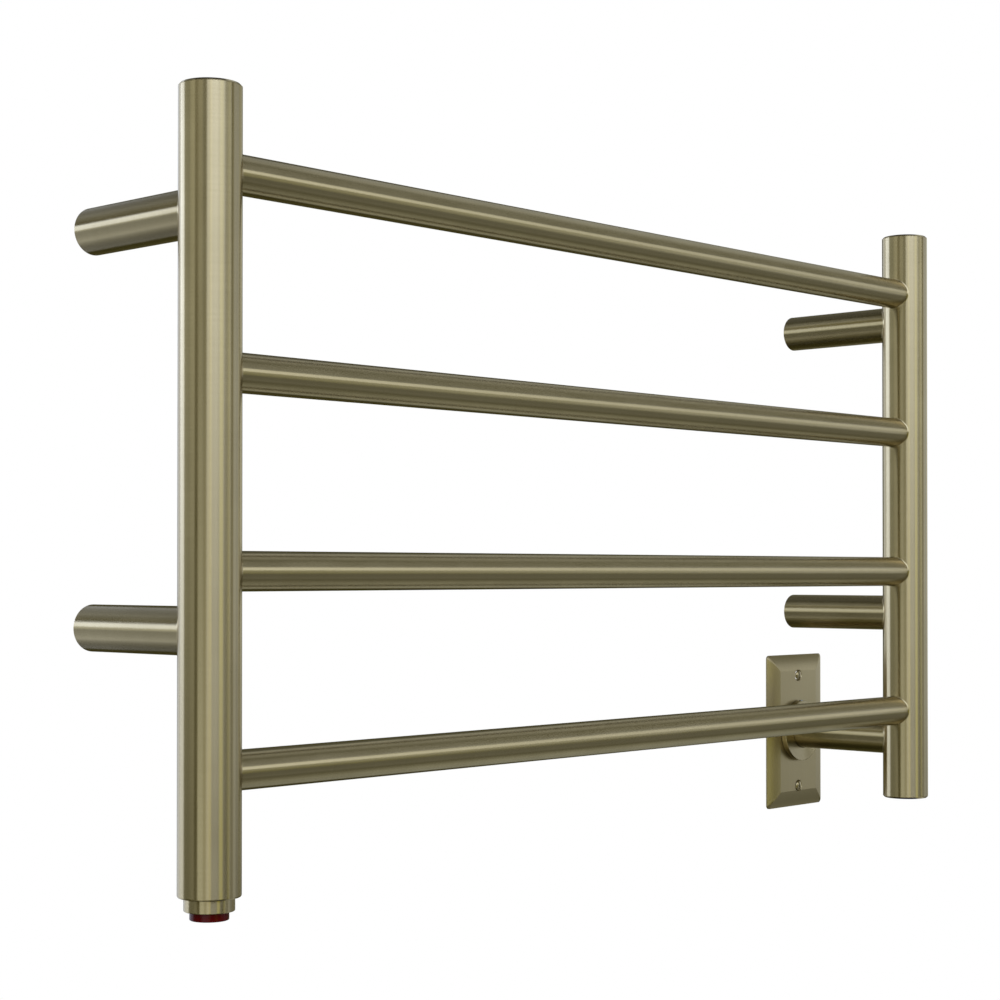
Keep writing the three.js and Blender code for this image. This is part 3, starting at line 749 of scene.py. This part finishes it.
@dataclass
class Bars:
    """The cross bars, each welded between the posts."""

    brass: bpy.types.Material
    wall: float = 1.2 * MM
    nodes: tuple[str, ...] = ("bar_1", "bar_2", "bar_3", "bar_4")

    def build(self) -> None:
        """Builds the top bar and repeats it down the posts."""
        first = middle(self.nodes[0])
        radius = size(self.nodes[0]).z / 2
        left, right = middle("left_post"), middle("right_post")
        weld = Weld(size("left_post").x / 2)
        bore = radius - self.wall
        near = weld.rows(radius, bore, left.x - first.x, -1)
        far = weld.rows(radius, bore, right.x - first.x, 1)
        rows = [*reversed(near), *far]
        mesh = skin(rows, ROUND_SIDES, Facing.RIGHT.placed_at(first), closed=True)
        step = middle(self.nodes[1]) - first
        mesh = GridRepeat(rows=len(self.nodes), row_step=step).apply(mesh, self.brass)
        piece("cross_bars", mesh, self.brass, "rack", self.nodes)


def welded_tube(node: str, wall: float, rim: float) -> bpy.types.Mesh:
    """Builds a tube from a post to the wall, welded to the post at its near end.

    Args:
        node: The frame's tube.
        wall: The tube's wall.
        rim: Rounding of the free end.

    Returns:
        The mesh.
    """
    low, high = corners(node)
    radius = (high.x - low.x) / 2
    side = "left_post" if low.x < 0 else "right_post"
    centre = Vector(((low.x + high.x) / 2, high.y, (low.z + high.z) / 2))
    post = middle(side)
    weld = Weld(size(side).x / 2)
    # The tube's own +Z points from the wall's end to the post, and the post runs along its x.
    welded = weld.rows(radius, radius - wall, high.y - post.y, 1)
    quarter = [math.pi / 2 * k / FILLET_STEPS for k in range(FILLET_STEPS + 1)]
    end = [(radius - rim + rim * math.sin(a), rim - rim * math.cos(a)) for a in quarter]
    free: list[Row] = [lambda _, p=point: p for point in [(radius - wall, 0.0), *end]]
    place = Facing.ROOM.placed_at(centre) @ Matrix.Rotation(math.pi / 2, 4, "Z")
    return skin([*free, *welded], ROUND_SIDES, place, closed=True)


@dataclass
class Standoffs:
    """Four tubes that hold the posts off the wall, each on a base plug with a grub screw."""

    brass: bpy.types.Material
    steel: bpy.types.Material
    wall: float = 1.5 * MM
    rim: float = 0.5 * MM
    base_hole: float = 2.6 * MM
    base_sink: float = 5.0 * MM
    base_round: float = 0.4 * MM
    hole_round: float = 0.2 * MM

    def build(self) -> None:
        """Builds the lower left standoff with its base and grub, and repeats each."""
        across = middle("right_lower_standoff") - middle("left_lower_standoff")
        up = middle("left_upper_standoff") - middle("left_lower_standoff")
        grid = GridRepeat(columns=2, rows=2, column_step=across, row_step=up)
        tube = welded_tube("left_lower_standoff", self.wall, self.rim)
        parts = (
            ("standoff", tube, self.brass),
            ("base", self._base(), self.steel),
            ("grub", grub_screw("left_lower_grub", Facing.DOWN), self.steel),
        )
        places = [f"{side}_{height}" for side in ("left", "right") for height in ("lower", "upper")]
        for kind, mesh, finish in parts:
            nodes = [f"{place}_{kind}" for place in places]
            piece(f"{kind}s", grid.apply(mesh, finish), finish, "rack", nodes)

    def _base(self) -> bpy.types.Mesh:
        """Returns a base plug, with its countersunk hole for the wall screw."""
        low, high = corners("left_lower_base")
        radius, length = (high.x - low.x) / 2, high.y - low.y
        centre = Vector(((low.x + high.x) / 2, high.y, (low.z + high.z) / 2))
        outline = [
            (self.base_hole, 0, self.hole_round),
            (radius, 0, self.base_round),
            (radius, length, self.base_round),
            (self.base_sink, length, 0),
            (self.base_hole, length - (self.base_sink - self.base_hole), 0),
        ]
        return turned(outline, SMALL_SIDES, Facing.ROOM.placed_at(centre))


def grub_screw(node: str, facing: Facing, chamfer: float = 0.12, socket: float = 0.55) -> bpy.types.Mesh:
    """Builds a grub screw with a hexagon socket.

    Args:
        node: The frame's screw.
        facing: The way that its socket faces, which is up or down.
        chamfer: The ends' rounding, as a share of the screw's radius.
        socket: The socket's radius at its corners, as a share of the screw's radius.

    Returns:
        The mesh.
    """
    low, high = corners(node)
    radius, length = (high.x - low.x) / 2, high.z - low.z
    end = high.z if facing is Facing.UP else low.z
    place = facing.placed_at(Vector(((low.x + high.x) / 2, (low.y + high.y) / 2, end)))
    edge, hole = chamfer * radius, socket * radius
    outline = [(0, -length, 0), (radius, -length, edge), (radius, 0, edge), (0, 0, 0)]
    body = turned(outline, SMALL_SIDES, place)
    hexagon = turned([(0, -radius, 0), (hole, -radius, 0), (hole, radius, 0), (0, radius, 0)], 6, place)
    return carve(body, [hexagon])


@dataclass
class Switch:
    """The push-button switch in the left post's foot."""

    brass: bpy.types.Material
    red: bpy.types.Material
    nose_radius: float = 12.75 * MM
    nose_round: float = 0.45 * MM
    recess: float = 1.4 * MM  # how far the nose's shoulder sits inside the tube
    mouth_round: float = 0.25 * MM
    shoulder_round: float = 0.3 * MM
    wall: float = 2.5 * MM
    button_clearance: float = 0.3 * MM
    button_radius: float = 9.85 * MM
    button_round: float = 0.45 * MM
    button_wall: float = 1.8 * MM
    button_face: float = 2.2 * MM
    button_fillet: float = 1.0 * MM
    flange: float = 2.0 * MM
    crown: float = 0.1 * MM
    crown_middle: float = 0.6  # the crown is a parabola, drawn with one point between

    def build(self) -> None:
        """Builds the housing's nose and the button."""
        low, high = corners("switch_housing")
        plug = (high.x - low.x) / 2
        centre = Vector(((low.x + high.x) / 2, (low.y + high.y) / 2, low.z))
        slide = self.button_radius + self.button_clearance
        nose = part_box("left_post")[0].z - low.z
        shoulder, ledge, end = nose + self.recess, nose + self.wall, high.z - low.z
        outline = [
            (slide, 0, self.mouth_round),
            (self.nose_radius, 0, self.nose_round),
            (self.nose_radius, shoulder, 0),
            (plug, shoulder, self.shoulder_round),
            (plug, end, 0),
            (plug - self.wall, end, 0),
            (plug - self.wall, ledge, 0),
            (slide, ledge, 0),
        ]
        housing = turned(outline, ROUND_SIDES, Facing.UP.placed_at(centre))
        piece("switch_housing", housing, self.brass, "rack", ["switch_housing"])
        low, high = corners("push_button")
        flange, top = (high.x - low.x) / 2, high.z - low.z
        foot = Vector((centre.x, centre.y, low.z))
        inner = self.button_radius - self.button_wall
        outline = [
            (0, 0, 0),
            (self.crown_middle * self.button_radius, self.crown * self.crown_middle**2, 0),
            (self.button_radius, self.crown, self.button_round),
            (self.button_radius, top - self.flange, 0),
            (flange, top - self.flange, 0),
            (flange, top, 0),
            (inner, top, 0),
            (inner, self.button_face, self.button_fillet),
            (0, self.button_face, 0),
        ]
        button = turned(outline, ROUND_SIDES, Facing.UP.placed_at(foot))
        piece("push_button", button, self.red, "button", ["push_button"])


@dataclass
class ReturnSpring:
    """The coil spring between the button's plunger and the switch module."""

    steel: bpy.types.Material
    wire: float = 0.9 * MM
    turns: int = 4
    turn_steps: int = 40
    wire_sides: int = 12
    fixed_end: float = -0.2202  # height of the seat that the spring's upper end bears on
    pressed: float = 0.72  # its length with the button in, as a share of its length at rest

    def build(self) -> None:
        """Builds the spring in the frame's place for it."""
        low, high = corners("return_spring")
        axis = (low + high) / 2
        radius = (high.x - low.x - self.wire) / 2
        start, end = low.z + self.wire / 2, high.z - self.wire / 2
        body = bmesh.new()
        rings = []
        steps = self.turns * self.turn_steps
        for k in range(steps + 1):
            turn = 2 * math.pi * k / self.turn_steps
            out = Vector((math.cos(turn), math.sin(turn), 0))
            centre = Vector((axis.x, axis.y, start + (end - start) * k / steps)) + radius * out
            ring = []
            for side in range(self.wire_sides):
                around = 2 * math.pi * side / self.wire_sides
                offset = math.cos(around) * out + math.sin(around) * Vector((0, 0, 1))
                ring.append(body.verts.new(centre + self.wire / 2 * offset))
            rings.append(ring)
        for low_ring, high_ring in zip(rings, rings[1:]):
            for side in range(self.wire_sides):
                after = (side + 1) % self.wire_sides
                body.faces.new((low_ring[side], low_ring[after], high_ring[after], high_ring[side]))
        body.faces.new(rings[0])
        body.faces.new(rings[-1])
        spring = piece("return_spring", to_mesh(body), self.steel, "rack", ["return_spring"])
        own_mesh(spring)


@dataclass
class CoverPlate:
    """The wiring arm, its collar, and the bevelled plate over the wall box."""

    brass: bpy.types.Material
    satin: bpy.types.Material
    steel: bpy.types.Material
    arm_wall: float = 1.5 * MM
    arm_rim: float = 0.3 * MM
    bevel: float = 12.0 * MM
    edge: float = 0.9 * MM
    sheet: float = 1.2 * MM
    corner: float = 3.0 * MM
    crease: float = 0.25 * MM
    flatness: float = 0.5  # how much of the bevel's rise is straight
    crown: float = 2.2  # how full the curved part of its rise is
    mitre: float = 1.8  # how fast the corners sharpen towards the face
    sharp: float = math.radians(6.5)
    bevel_steps: int = 14
    corner_steps: int = 16
    collar_height: float = 4.2 * MM
    collar_round: float = 0.45 * MM
    seat_round: float = 0.15 * MM
    bore_round: float = 0.25 * MM
    neck: float = 15.5 * MM
    clearance: float = 0.3 * MM
    screw_head: float = 3.6 * MM
    screw_dome: float = 0.9 * MM
    screw_depth: float = 2.2 * MM
    screw_shank: float = 1.7 * MM
    screw_tip: float = 0.5 * MM
    countersink: float = 4.4 * MM
    countersink_lip: float = 0.5 * MM
    dome_steps: int = 8
    slot_width: float = 1.0 * MM
    slot_depth: float = 1.0 * MM

    def build(self) -> None:
        """Builds the arm, the collar with its grub screw, the plate and its screws."""
        arm = welded_tube("wiring_arm", self.arm_wall, self.arm_rim)
        piece("wiring_arm", arm, self.brass, "rack", ["wiring_arm"])
        self._collar()
        grub = grub_screw("collar_grub", Facing.UP)
        piece("collar_grub", grub, self.steel, "rack", ["collar_grub"])
        piece("wall_plate", self._plate(), self.satin, "rack", ["wall_plate"], self.sharp)
        self._screws()

    def _collar(self) -> None:
        """Builds the collar that hides the hole round the arm."""
        low, high = corners("arm_collar")
        radius, depth = (high.x - low.x) / 2, high.y - low.y
        bore = size("wiring_arm").x / 2 + self.clearance
        centre = Vector(((low.x + high.x) / 2, high.y, (low.z + high.z) / 2))
        seat = depth - self.collar_height
        outline = [
            (bore, 0, 0),
            (self.neck, 0, 0),
            (self.neck, seat, 0),
            (radius, seat, self.seat_round),
            (radius, depth, self.collar_round),
            (bore, depth, self.bore_round),
        ]
        mesh = turned(outline, ROUND_SIDES, Facing.ROOM.placed_at(centre))
        piece("arm_collar", mesh, self.brass, "rack", ["arm_collar"])

    def _loop(self, width: float, height: float, inset: float, corner: float) -> list[Vector]:
        """Points round a rectangle with rounded corners.

        Args:
            width: The plate's width.
            height: The plate's height.
            inset: How far inside the plate's edge the loop runs.
            corner: The corners' radius.

        Returns:
            The points in the plate's plane, anticlockwise.
        """
        points = []
        for quadrant, (sx, sz) in enumerate(((1, 1), (-1, 1), (-1, -1), (1, -1))):
            centre = Vector((sx * (width / 2 - inset - corner), sz * (height / 2 - inset - corner)))
            for k in range(self.corner_steps + 1):
                angle = (quadrant + k / self.corner_steps) * math.pi / 2
                points.append(centre + corner * Vector((math.cos(angle), math.sin(angle))))
        return points

    def _plate(self) -> bpy.types.Mesh:
        """Returns the plate: a pressed sheet with a curved bevel and mitred corners."""
        low, high = corners("wall_plate")
        width, rise, height = high - low
        centre = middle("wall_plate")
        profile = [(0.0, 0.0), (0.0, 1.0)]
        for k in range(1, self.bevel_steps + 1):
            u = k / self.bevel_steps
            crown = self.flatness * u + (1 - self.flatness) * (1 - (1 - u) ** self.crown)
            profile.append((u, 1.0 + (rise / self.edge - 1) * crown))
        outer = [
            (self.bevel * u, self.edge * h, max(self.crease, self.corner * (1 - u) ** self.mitre))
            for u, h in profile
        ]
        inner = [(i + self.sheet, max(0.0, h - self.sheet) if h > self.edge else h, c) for i, h, c in outer]
        body = bmesh.new()
        rings = []
        for inset, h, corner in [*outer, *reversed(inner)]:
            flat = self._loop(width, height, inset, corner)
            rings.append([body.verts.new((centre.x + p.x, -h, centre.z + p.y)) for p in flat])
        count = len(rings[0])
        face_row = len(outer) - 1
        for i in range(len(rings)):
            if i == face_row:
                continue
            a, b = rings[i], rings[(i + 1) % len(rings)]
            for k in range(count):
                j = (k + 1) % count
                body.faces.new((a[k], a[j], b[j], b[k]))
        body.faces.new(rings[face_row])
        body.faces.new(rings[face_row + 1])
        cutters = [self._hole(centre, rise)]
        for node in ("upper_plate_screw", "lower_plate_screw"):
            cutters.append(self._countersink(middle(node), rise))
        return brush_flat(carve(to_mesh(body), cutters), Vector((1, 0, 0)), Vector((0, 0, 1)))

    def _hole(self, centre: Vector, rise: float) -> bpy.types.Mesh:
        """Returns the cutter for the collar's neck."""
        place = Facing.WALL.placed_at(Vector((centre.x, -2 * rise, centre.z)))
        radius = self.neck + self.clearance
        outline = [(0, 0, 0), (radius, 0, 0), (radius, 3 * rise, 0), (0, 3 * rise, 0)]
        return turned(outline, ROUND_SIDES, place)

    def _countersink(self, at: Vector, rise: float) -> bpy.types.Mesh:
        """Returns the cutter for one screw's hole."""
        place = Facing.ROOM.placed_at(Vector((at.x, -rise, at.z)))
        lip, shank = self.countersink_lip, self.screw_shank + self.clearance
        outline = [
            (0, -2 * rise, 0),
            (shank, -2 * rise, 0),
            (shank, -self.screw_depth, 0),
            (self.countersink, 0, 0),
            (self.countersink + lip, lip, 0),
            (0, lip, 0),
        ]
        return turned(outline, ROUND_SIDES, place)

    def _screws(self) -> None:
        """Builds the lower plate screw, with its slot upright, and repeats it above."""
        low, high = corners("lower_plate_screw")
        at = middle("lower_plate_screw")
        face = Vector((at.x, low.y, at.z))
        length, dome = high.y - low.y, self.screw_dome
        crown = []
        for k in range(self.dome_steps):
            angle = math.pi / 2 * k / self.dome_steps
            crown.append((self.screw_head * math.cos(angle), -dome + dome * math.sin(angle), 0))
        outline = [
            (0, -length, 0),
            (self.screw_shank, -length, self.screw_tip),
            (self.screw_shank, -dome - self.screw_depth, 0),
            *crown,
            (0, 0, 0),
        ]
        mesh = turned(outline, SMALL_SIDES, Facing.ROOM.placed_at(face))
        tool = bmesh.new()
        bmesh.ops.create_cube(tool, size=1)
        # The slot runs out past both sides of the head.
        reach = Vector((self.slot_width, 2 * self.slot_depth, 2.2 * self.screw_head))
        placed = Matrix.Translation(face) @ Matrix.Diagonal(reach).to_4x4()
        bmesh.ops.transform(tool, matrix=placed, verts=tool.verts)
        mesh = carve(mesh, [to_mesh(tool)])
        step = middle("upper_plate_screw") - at
        mesh = GridRepeat(rows=2, row_step=step).apply(mesh, self.brass)
        piece("plate_screws", mesh, self.brass, "rack", ["lower_plate_screw", "upper_plate_screw"])


@dataclass
class Inside:
    """The pieces that stay as the frame has them, each given what it is made of."""

    frame: dict
    finishes: tuple[tuple[Plain, tuple[str, ...]], ...] = (
        (ZINC_STEEL, ("thermal_cutoff", "arm_locknut", "earth_terminal", "earth_screw")),
        (BLACK_NYLON, ("button_plunger", "switch_module", "wire_bushing")),
        (EPDM_RUBBER, ("left_top_seal", "right_top_seal", "right_bottom_seal", "cable_end_seal")),
        (SILICONE_SHEATH, ("heating_cable",)),
        (LIVE_PVC, ("switch_lead", "supply_live")),
        (NEUTRAL_PVC, ("supply_neutral",)),
        (EARTH_PVC, ("supply_earth",)),
        (SHRINK_SLEEVE, ("cold_joint", "live_splice", "switched_splice", "neutral_splice")),
        (CLEAR_ACRYLIC, ("light_guide",)),
    )

    def dress(self, made: dict[str, bpy.types.Material]) -> None:
        """Gives every kept node its material.

        Args:
            made: Materials that exist already, by the name of their finish.
        """
        for finish, nodes in self.finishes:
            material = made.get(finish.name) or finish.build()
            for node in nodes:
                thing = self.frame["nodes"][node]
                thing.data.materials.clear()
                thing.data.materials.append(material)
            log.info("%s: %s", finish.name, ", ".join(nodes))


# ---------------------------------------------------------------- studio


ALL_ROUND = 400.0  # half a width that takes in every bearing


class Tint(Enum):
    """What colour a panel's light is, as linear red, green and blue beside a green of one."""

    GOLD = (1.0, 1.0, 0.1)
    STRAW = (1.05, 1.0, 0.37)
    WARM = (1.0, 1.0, 0.86)
    NEUTRAL = (0.95, 1.0, 1.0)
    DAY = (0.92, 1.0, 1.07)
    COOL = (0.92, 1.0, 1.15)
    SKY = (0.9, 1.0, 1.28)
    BLUE = (0.86, 1.0, 1.47)


@dataclass(frozen=True)
class Panel:
    """One softbox, card or wall of the studio, as a window of directions round the object.

    The bearing is clockwise seen from above, from 0 into the wall to 90 along +X. Bearings,
    heights and the softness of the sides and edges are in degrees.
    """

    bearing: float
    half_width: float
    height: float
    half_height: float
    tint: Tint
    strength: float
    soft_side: float = 4.0
    soft_edge: float = 4.0


@dataclass
class Studio:
    """Soft light all round, a white ground, a pale floor and the camera.

    The panels' light adds up where they overlap.
    """

    panels: tuple[Panel, ...] = (
        Panel(0, ALL_ROUND, -1, 57, Tint.STRAW, 0.08, 2, 5),  # walls all round
        Panel(169.5, 6.5, 28, 22, Tint.SKY, 1.8),  # main softbox, high behind the camera: right end
        Panel(-177, 7, 28, 22, Tint.SKY, 1.95),  # the softbox, right of its middle
        Panel(-163, 7, 28, 22, Tint.SKY, 2.35),  # the softbox, middle
        Panel(-149, 7, 28, 22, Tint.SKY, 2.25),  # the softbox, left of its middle
        Panel(-135.5, 6.5, 28, 22, Tint.SKY, 1.55),  # the softbox, left end
        Panel(150.5, 12.5, 10.5, 6.5, Tint.COOL, 1.45, 3, 2),  # edge of its diffuser, lower on the right
        Panel(132, 6, 6.5, 10.5, Tint.WARM, 0.23, 3, 3),  # wall beside the softbox
        Panel(148, 5, -3.5, 8.5, Tint.GOLD, 0.25, 2, 3),  # light spilling under the softbox, right
        Panel(178, 7, -3.5, 8.5, Tint.GOLD, 0.66, 3, 3),  # light spilling under it, middle
        Panel(-143, 4, -3.5, 8.5, Tint.STRAW, 0.7, 2, 3),  # light spilling under it, left
        Panel(-107.5, 10.5, -18, 14, Tint.DAY, 1.15, 3, 4),  # bounce card, low at the front left
        Panel(-129, 11, -19, 13, Tint.NEUTRAL, 0.8, 3, 4),  # bounce card, its end next to the camera
        Panel(-128.5, 10.5, 0, 6, Tint.WARM, 0.31, 3, 3),  # the card's upper edge
        Panel(-88, 26, 28.5, 13.5, Tint.WARM, 0.51),  # wall above the left side
        Panel(-72.5, 12.5, 7.5, 8.5, Tint.DAY, 0.74, 3, 4),  # left wall at the rack's height
        Panel(-48, 12, 7.5, 8.5, Tint.DAY, 0.77, 3, 4),  # left wall, towards the back
        Panel(-23, 13, 10, 6, Tint.BLUE, 3.3, 3, 2),  # bright strip window in the back wall
        Panel(-8, 28, -14, 18, Tint.SKY, 0.87, 3, 3),  # back wall below it
        Panel(8.5, 18.5, 18.5, 13.5, Tint.SKY, 0.92, 3, 4),  # back wall above it
        Panel(78.5, 18.5, 4, 10, Tint.NEUTRAL, 0.64, 4, 3),  # right wall at the rack's height
        Panel(112, 15, 5, 11, Tint.SKY, 0.66, 3, 3),  # strip softbox on the right
        Panel(129.5, 17.5, -13.5, 18.5, Tint.SKY, 0.2),  # wall below the strip softbox
        Panel(93.5, 33.5, 25, 9, Tint.NEUTRAL, 0.16),  # wall above the strip softbox
        Panel(86, 26, -44, 14, Tint.DAY, 0.51, 6, 5),  # floor to the right
        Panel(-121, 59, -44, 14, Tint.WARM, 0.3, 6, 5),  # floor in front
        Panel(146, 34, -44, 14, Tint.SKY, 0.075, 6, 5),  # floor in front, to the right
        Panel(86, 26, 45, 13, Tint.COOL, 0.57, 6, 5),  # ceiling to the right
        Panel(-95, 33, 46, 12, Tint.SKY, 0.75, 6, 5),  # ceiling to the left
        Panel(25, 35, 45, 13, Tint.SKY, 0.12, 6, 5),  # ceiling over the wall
        Panel(0, ALL_ROUND, 80, 20, Tint.WARM, 0.07, 2, 5),  # dark ceiling overhead
    )
    floor_drop: float = 0.75
    floor_side: float = 3.0
    floor_colour: str = "#f0efec"
    floor_light: float = 0.4  # how strongly the floor shines, so that it looks pale from above
    lens_mm: float = 73.606
    lens_shift: float = 0.05086
    camera_at: tuple[float, float, float] = (-0.96223, -0.89865, -0.07544)
    camera_yaw: float = 0.8172  # in radians, clockwise from +Y seen from above
    camera_pitch: float = 0.0104

    def build(self) -> None:
        """Builds the world, the floor and the camera."""
        self._world()
        self._floor()
        self._camera()
        bpy.context.scene.view_settings.view_transform = "Standard"

    def _world(self) -> None:
        """Builds the world: white to the camera, and the studio's panels to everything else."""
        world = bpy.data.worlds.new("studio")
        bpy.context.scene.world = world
        world.use_nodes = True
        tree = world.node_tree
        tree.nodes.clear()
        ray = add_node(tree, "ShaderNodeTexCoord").outputs["Generated"]
        up = add_node(tree, "ShaderNodeSeparateXYZ", Vector=ray).outputs["Z"]
        rise = add_node(tree, "ShaderNodeMath", {"operation": "ARCSINE", 0: up}).outputs[0]
        light: bpy.types.NodeSocket | tuple = (0.0, 0.0, 0.0, 1.0)
        for panel in self.panels:
            spun = add_node(
                tree, "ShaderNodeVectorRotate", {"rotation_type": "Z_AXIS"},
                Vector=ray, Angle=math.radians(panel.bearing),
            )
            flat = add_node(tree, "ShaderNodeSeparateXYZ", Vector=spun.outputs[0]).outputs
            bearing = add_node(tree, "ShaderNodeMath", {"operation": "ARCTAN2", 0: flat["X"], 1: flat["Y"]})
            level = math.radians(panel.height)
            lift = add_node(tree, "ShaderNodeMath", {"operation": "SUBTRACT", 0: rise, 1: level})
            windows = []
            for offset, half, soft in (
                (bearing, panel.half_width, panel.soft_side),
                (lift, panel.half_height, panel.soft_edge),
            ):
                away = add_node(tree, "ShaderNodeMath", {"operation": "ABSOLUTE", 0: offset.outputs[0]})
                limits = {1: math.radians(half - soft), 2: math.radians(half + soft), 3: 1.0, 4: 0.0}
                window = add_node(
                    tree, "ShaderNodeMapRange",
                    {"interpolation_type": "SMOOTHSTEP", 0: away.outputs[0], **limits},
                )
                windows.append(window.outputs[0])
            inside = add_node(tree, "ShaderNodeMath", {"operation": "MULTIPLY", 0: windows[0], 1: windows[1]})
            glow = (*(panel.strength * channel for channel in panel.tint.value), 1.0)
            light = add_node(
                tree, "ShaderNodeMix",
                {"data_type": "RGBA", "blend_type": "ADD", 0: inside.outputs[0], 6: light, 7: glow},
            ).outputs[2]
        lit = add_node(tree, "ShaderNodeBackground", Color=light)
        white = add_node(tree, "ShaderNodeBackground", Color=(1.0, 1.0, 1.0, 1.0))
        seen = add_node(tree, "ShaderNodeLightPath").outputs["Is Camera Ray"]
        both = add_node(tree, "ShaderNodeMixShader", {0: seen, 1: lit.outputs[0], 2: white.outputs[0]})
        add_node(tree, "ShaderNodeOutputWorld", Surface=both.outputs[0])

    def _floor(self) -> None:
        """Lays a plain pale floor well below the rack."""
        half = self.floor_side / 2
        low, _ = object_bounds()
        level = low[2] - self.floor_drop
        mesh = bpy.data.meshes.new("floor")
        square = [(-half, -half, level), (half, -half, level), (half, half, level), (-half, half, level)]
        mesh.from_pydata(square, [], [(0, 1, 2, 3)])
        material, tree = new_material("pale_floor", "floor")
        pale = linear(self.floor_colour)
        shader = add_node(
            tree, "ShaderNodeBsdfPrincipled",
            Base_Color=pale, Roughness=0.9, Emission_Color=pale, Emission_Strength=self.floor_light,
        )
        finish_with(tree, shader)
        mesh.materials.append(material)
        floor = shown("floor", mesh)
        # The panels below already light the rack, so the floor shows to the camera alone.
        floor.visible_glossy = False
        floor.visible_diffuse = False
        floor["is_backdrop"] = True

    def _camera(self) -> None:
        """Sets the camera at the front left, level with the lower bars."""
        data = bpy.data.cameras.new("camera")
        data.sensor_width = 36.0
        data.lens = self.lens_mm
        data.shift_y = self.lens_shift
        data.clip_start = 0.01
        camera = bpy.data.objects.new("camera", data)
        camera.location = self.camera_at
        yaw, pitch = self.camera_yaw, self.camera_pitch
        look = Vector((math.sin(yaw) * math.cos(pitch), math.cos(yaw) * math.cos(pitch), math.sin(pitch)))
        camera.rotation_euler = look.to_track_quat("-Z", "Y").to_euler()
        bpy.context.collection.objects.link(camera)
        bpy.context.scene.camera = camera


def main() -> None:
    """Builds the scene round the frame."""
    logging.basicConfig(level=logging.INFO, format="%(name)s: %(message)s")
    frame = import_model()
    Studio().build()
    brass, red = BrushedBrass().build(), RedAcrylic().build()
    satin, polished = SATIN_BRASS.build(), POLISHED_BRASS.build()
    steel, nylon = ZINC_STEEL.build(), BLACK_NYLON.build()
    Posts(brass, polished).build()
    Bars(brass).build()
    Standoffs(brass, steel).build()
    Switch(brass, red).build()
    CoverPlate(brass, satin, steel).build()
    ReturnSpring(steel).build()
    Inside(frame).dress({ZINC_STEEL.name: steel, BLACK_NYLON.name: nylon})


if __name__ == "__main__":
    main()
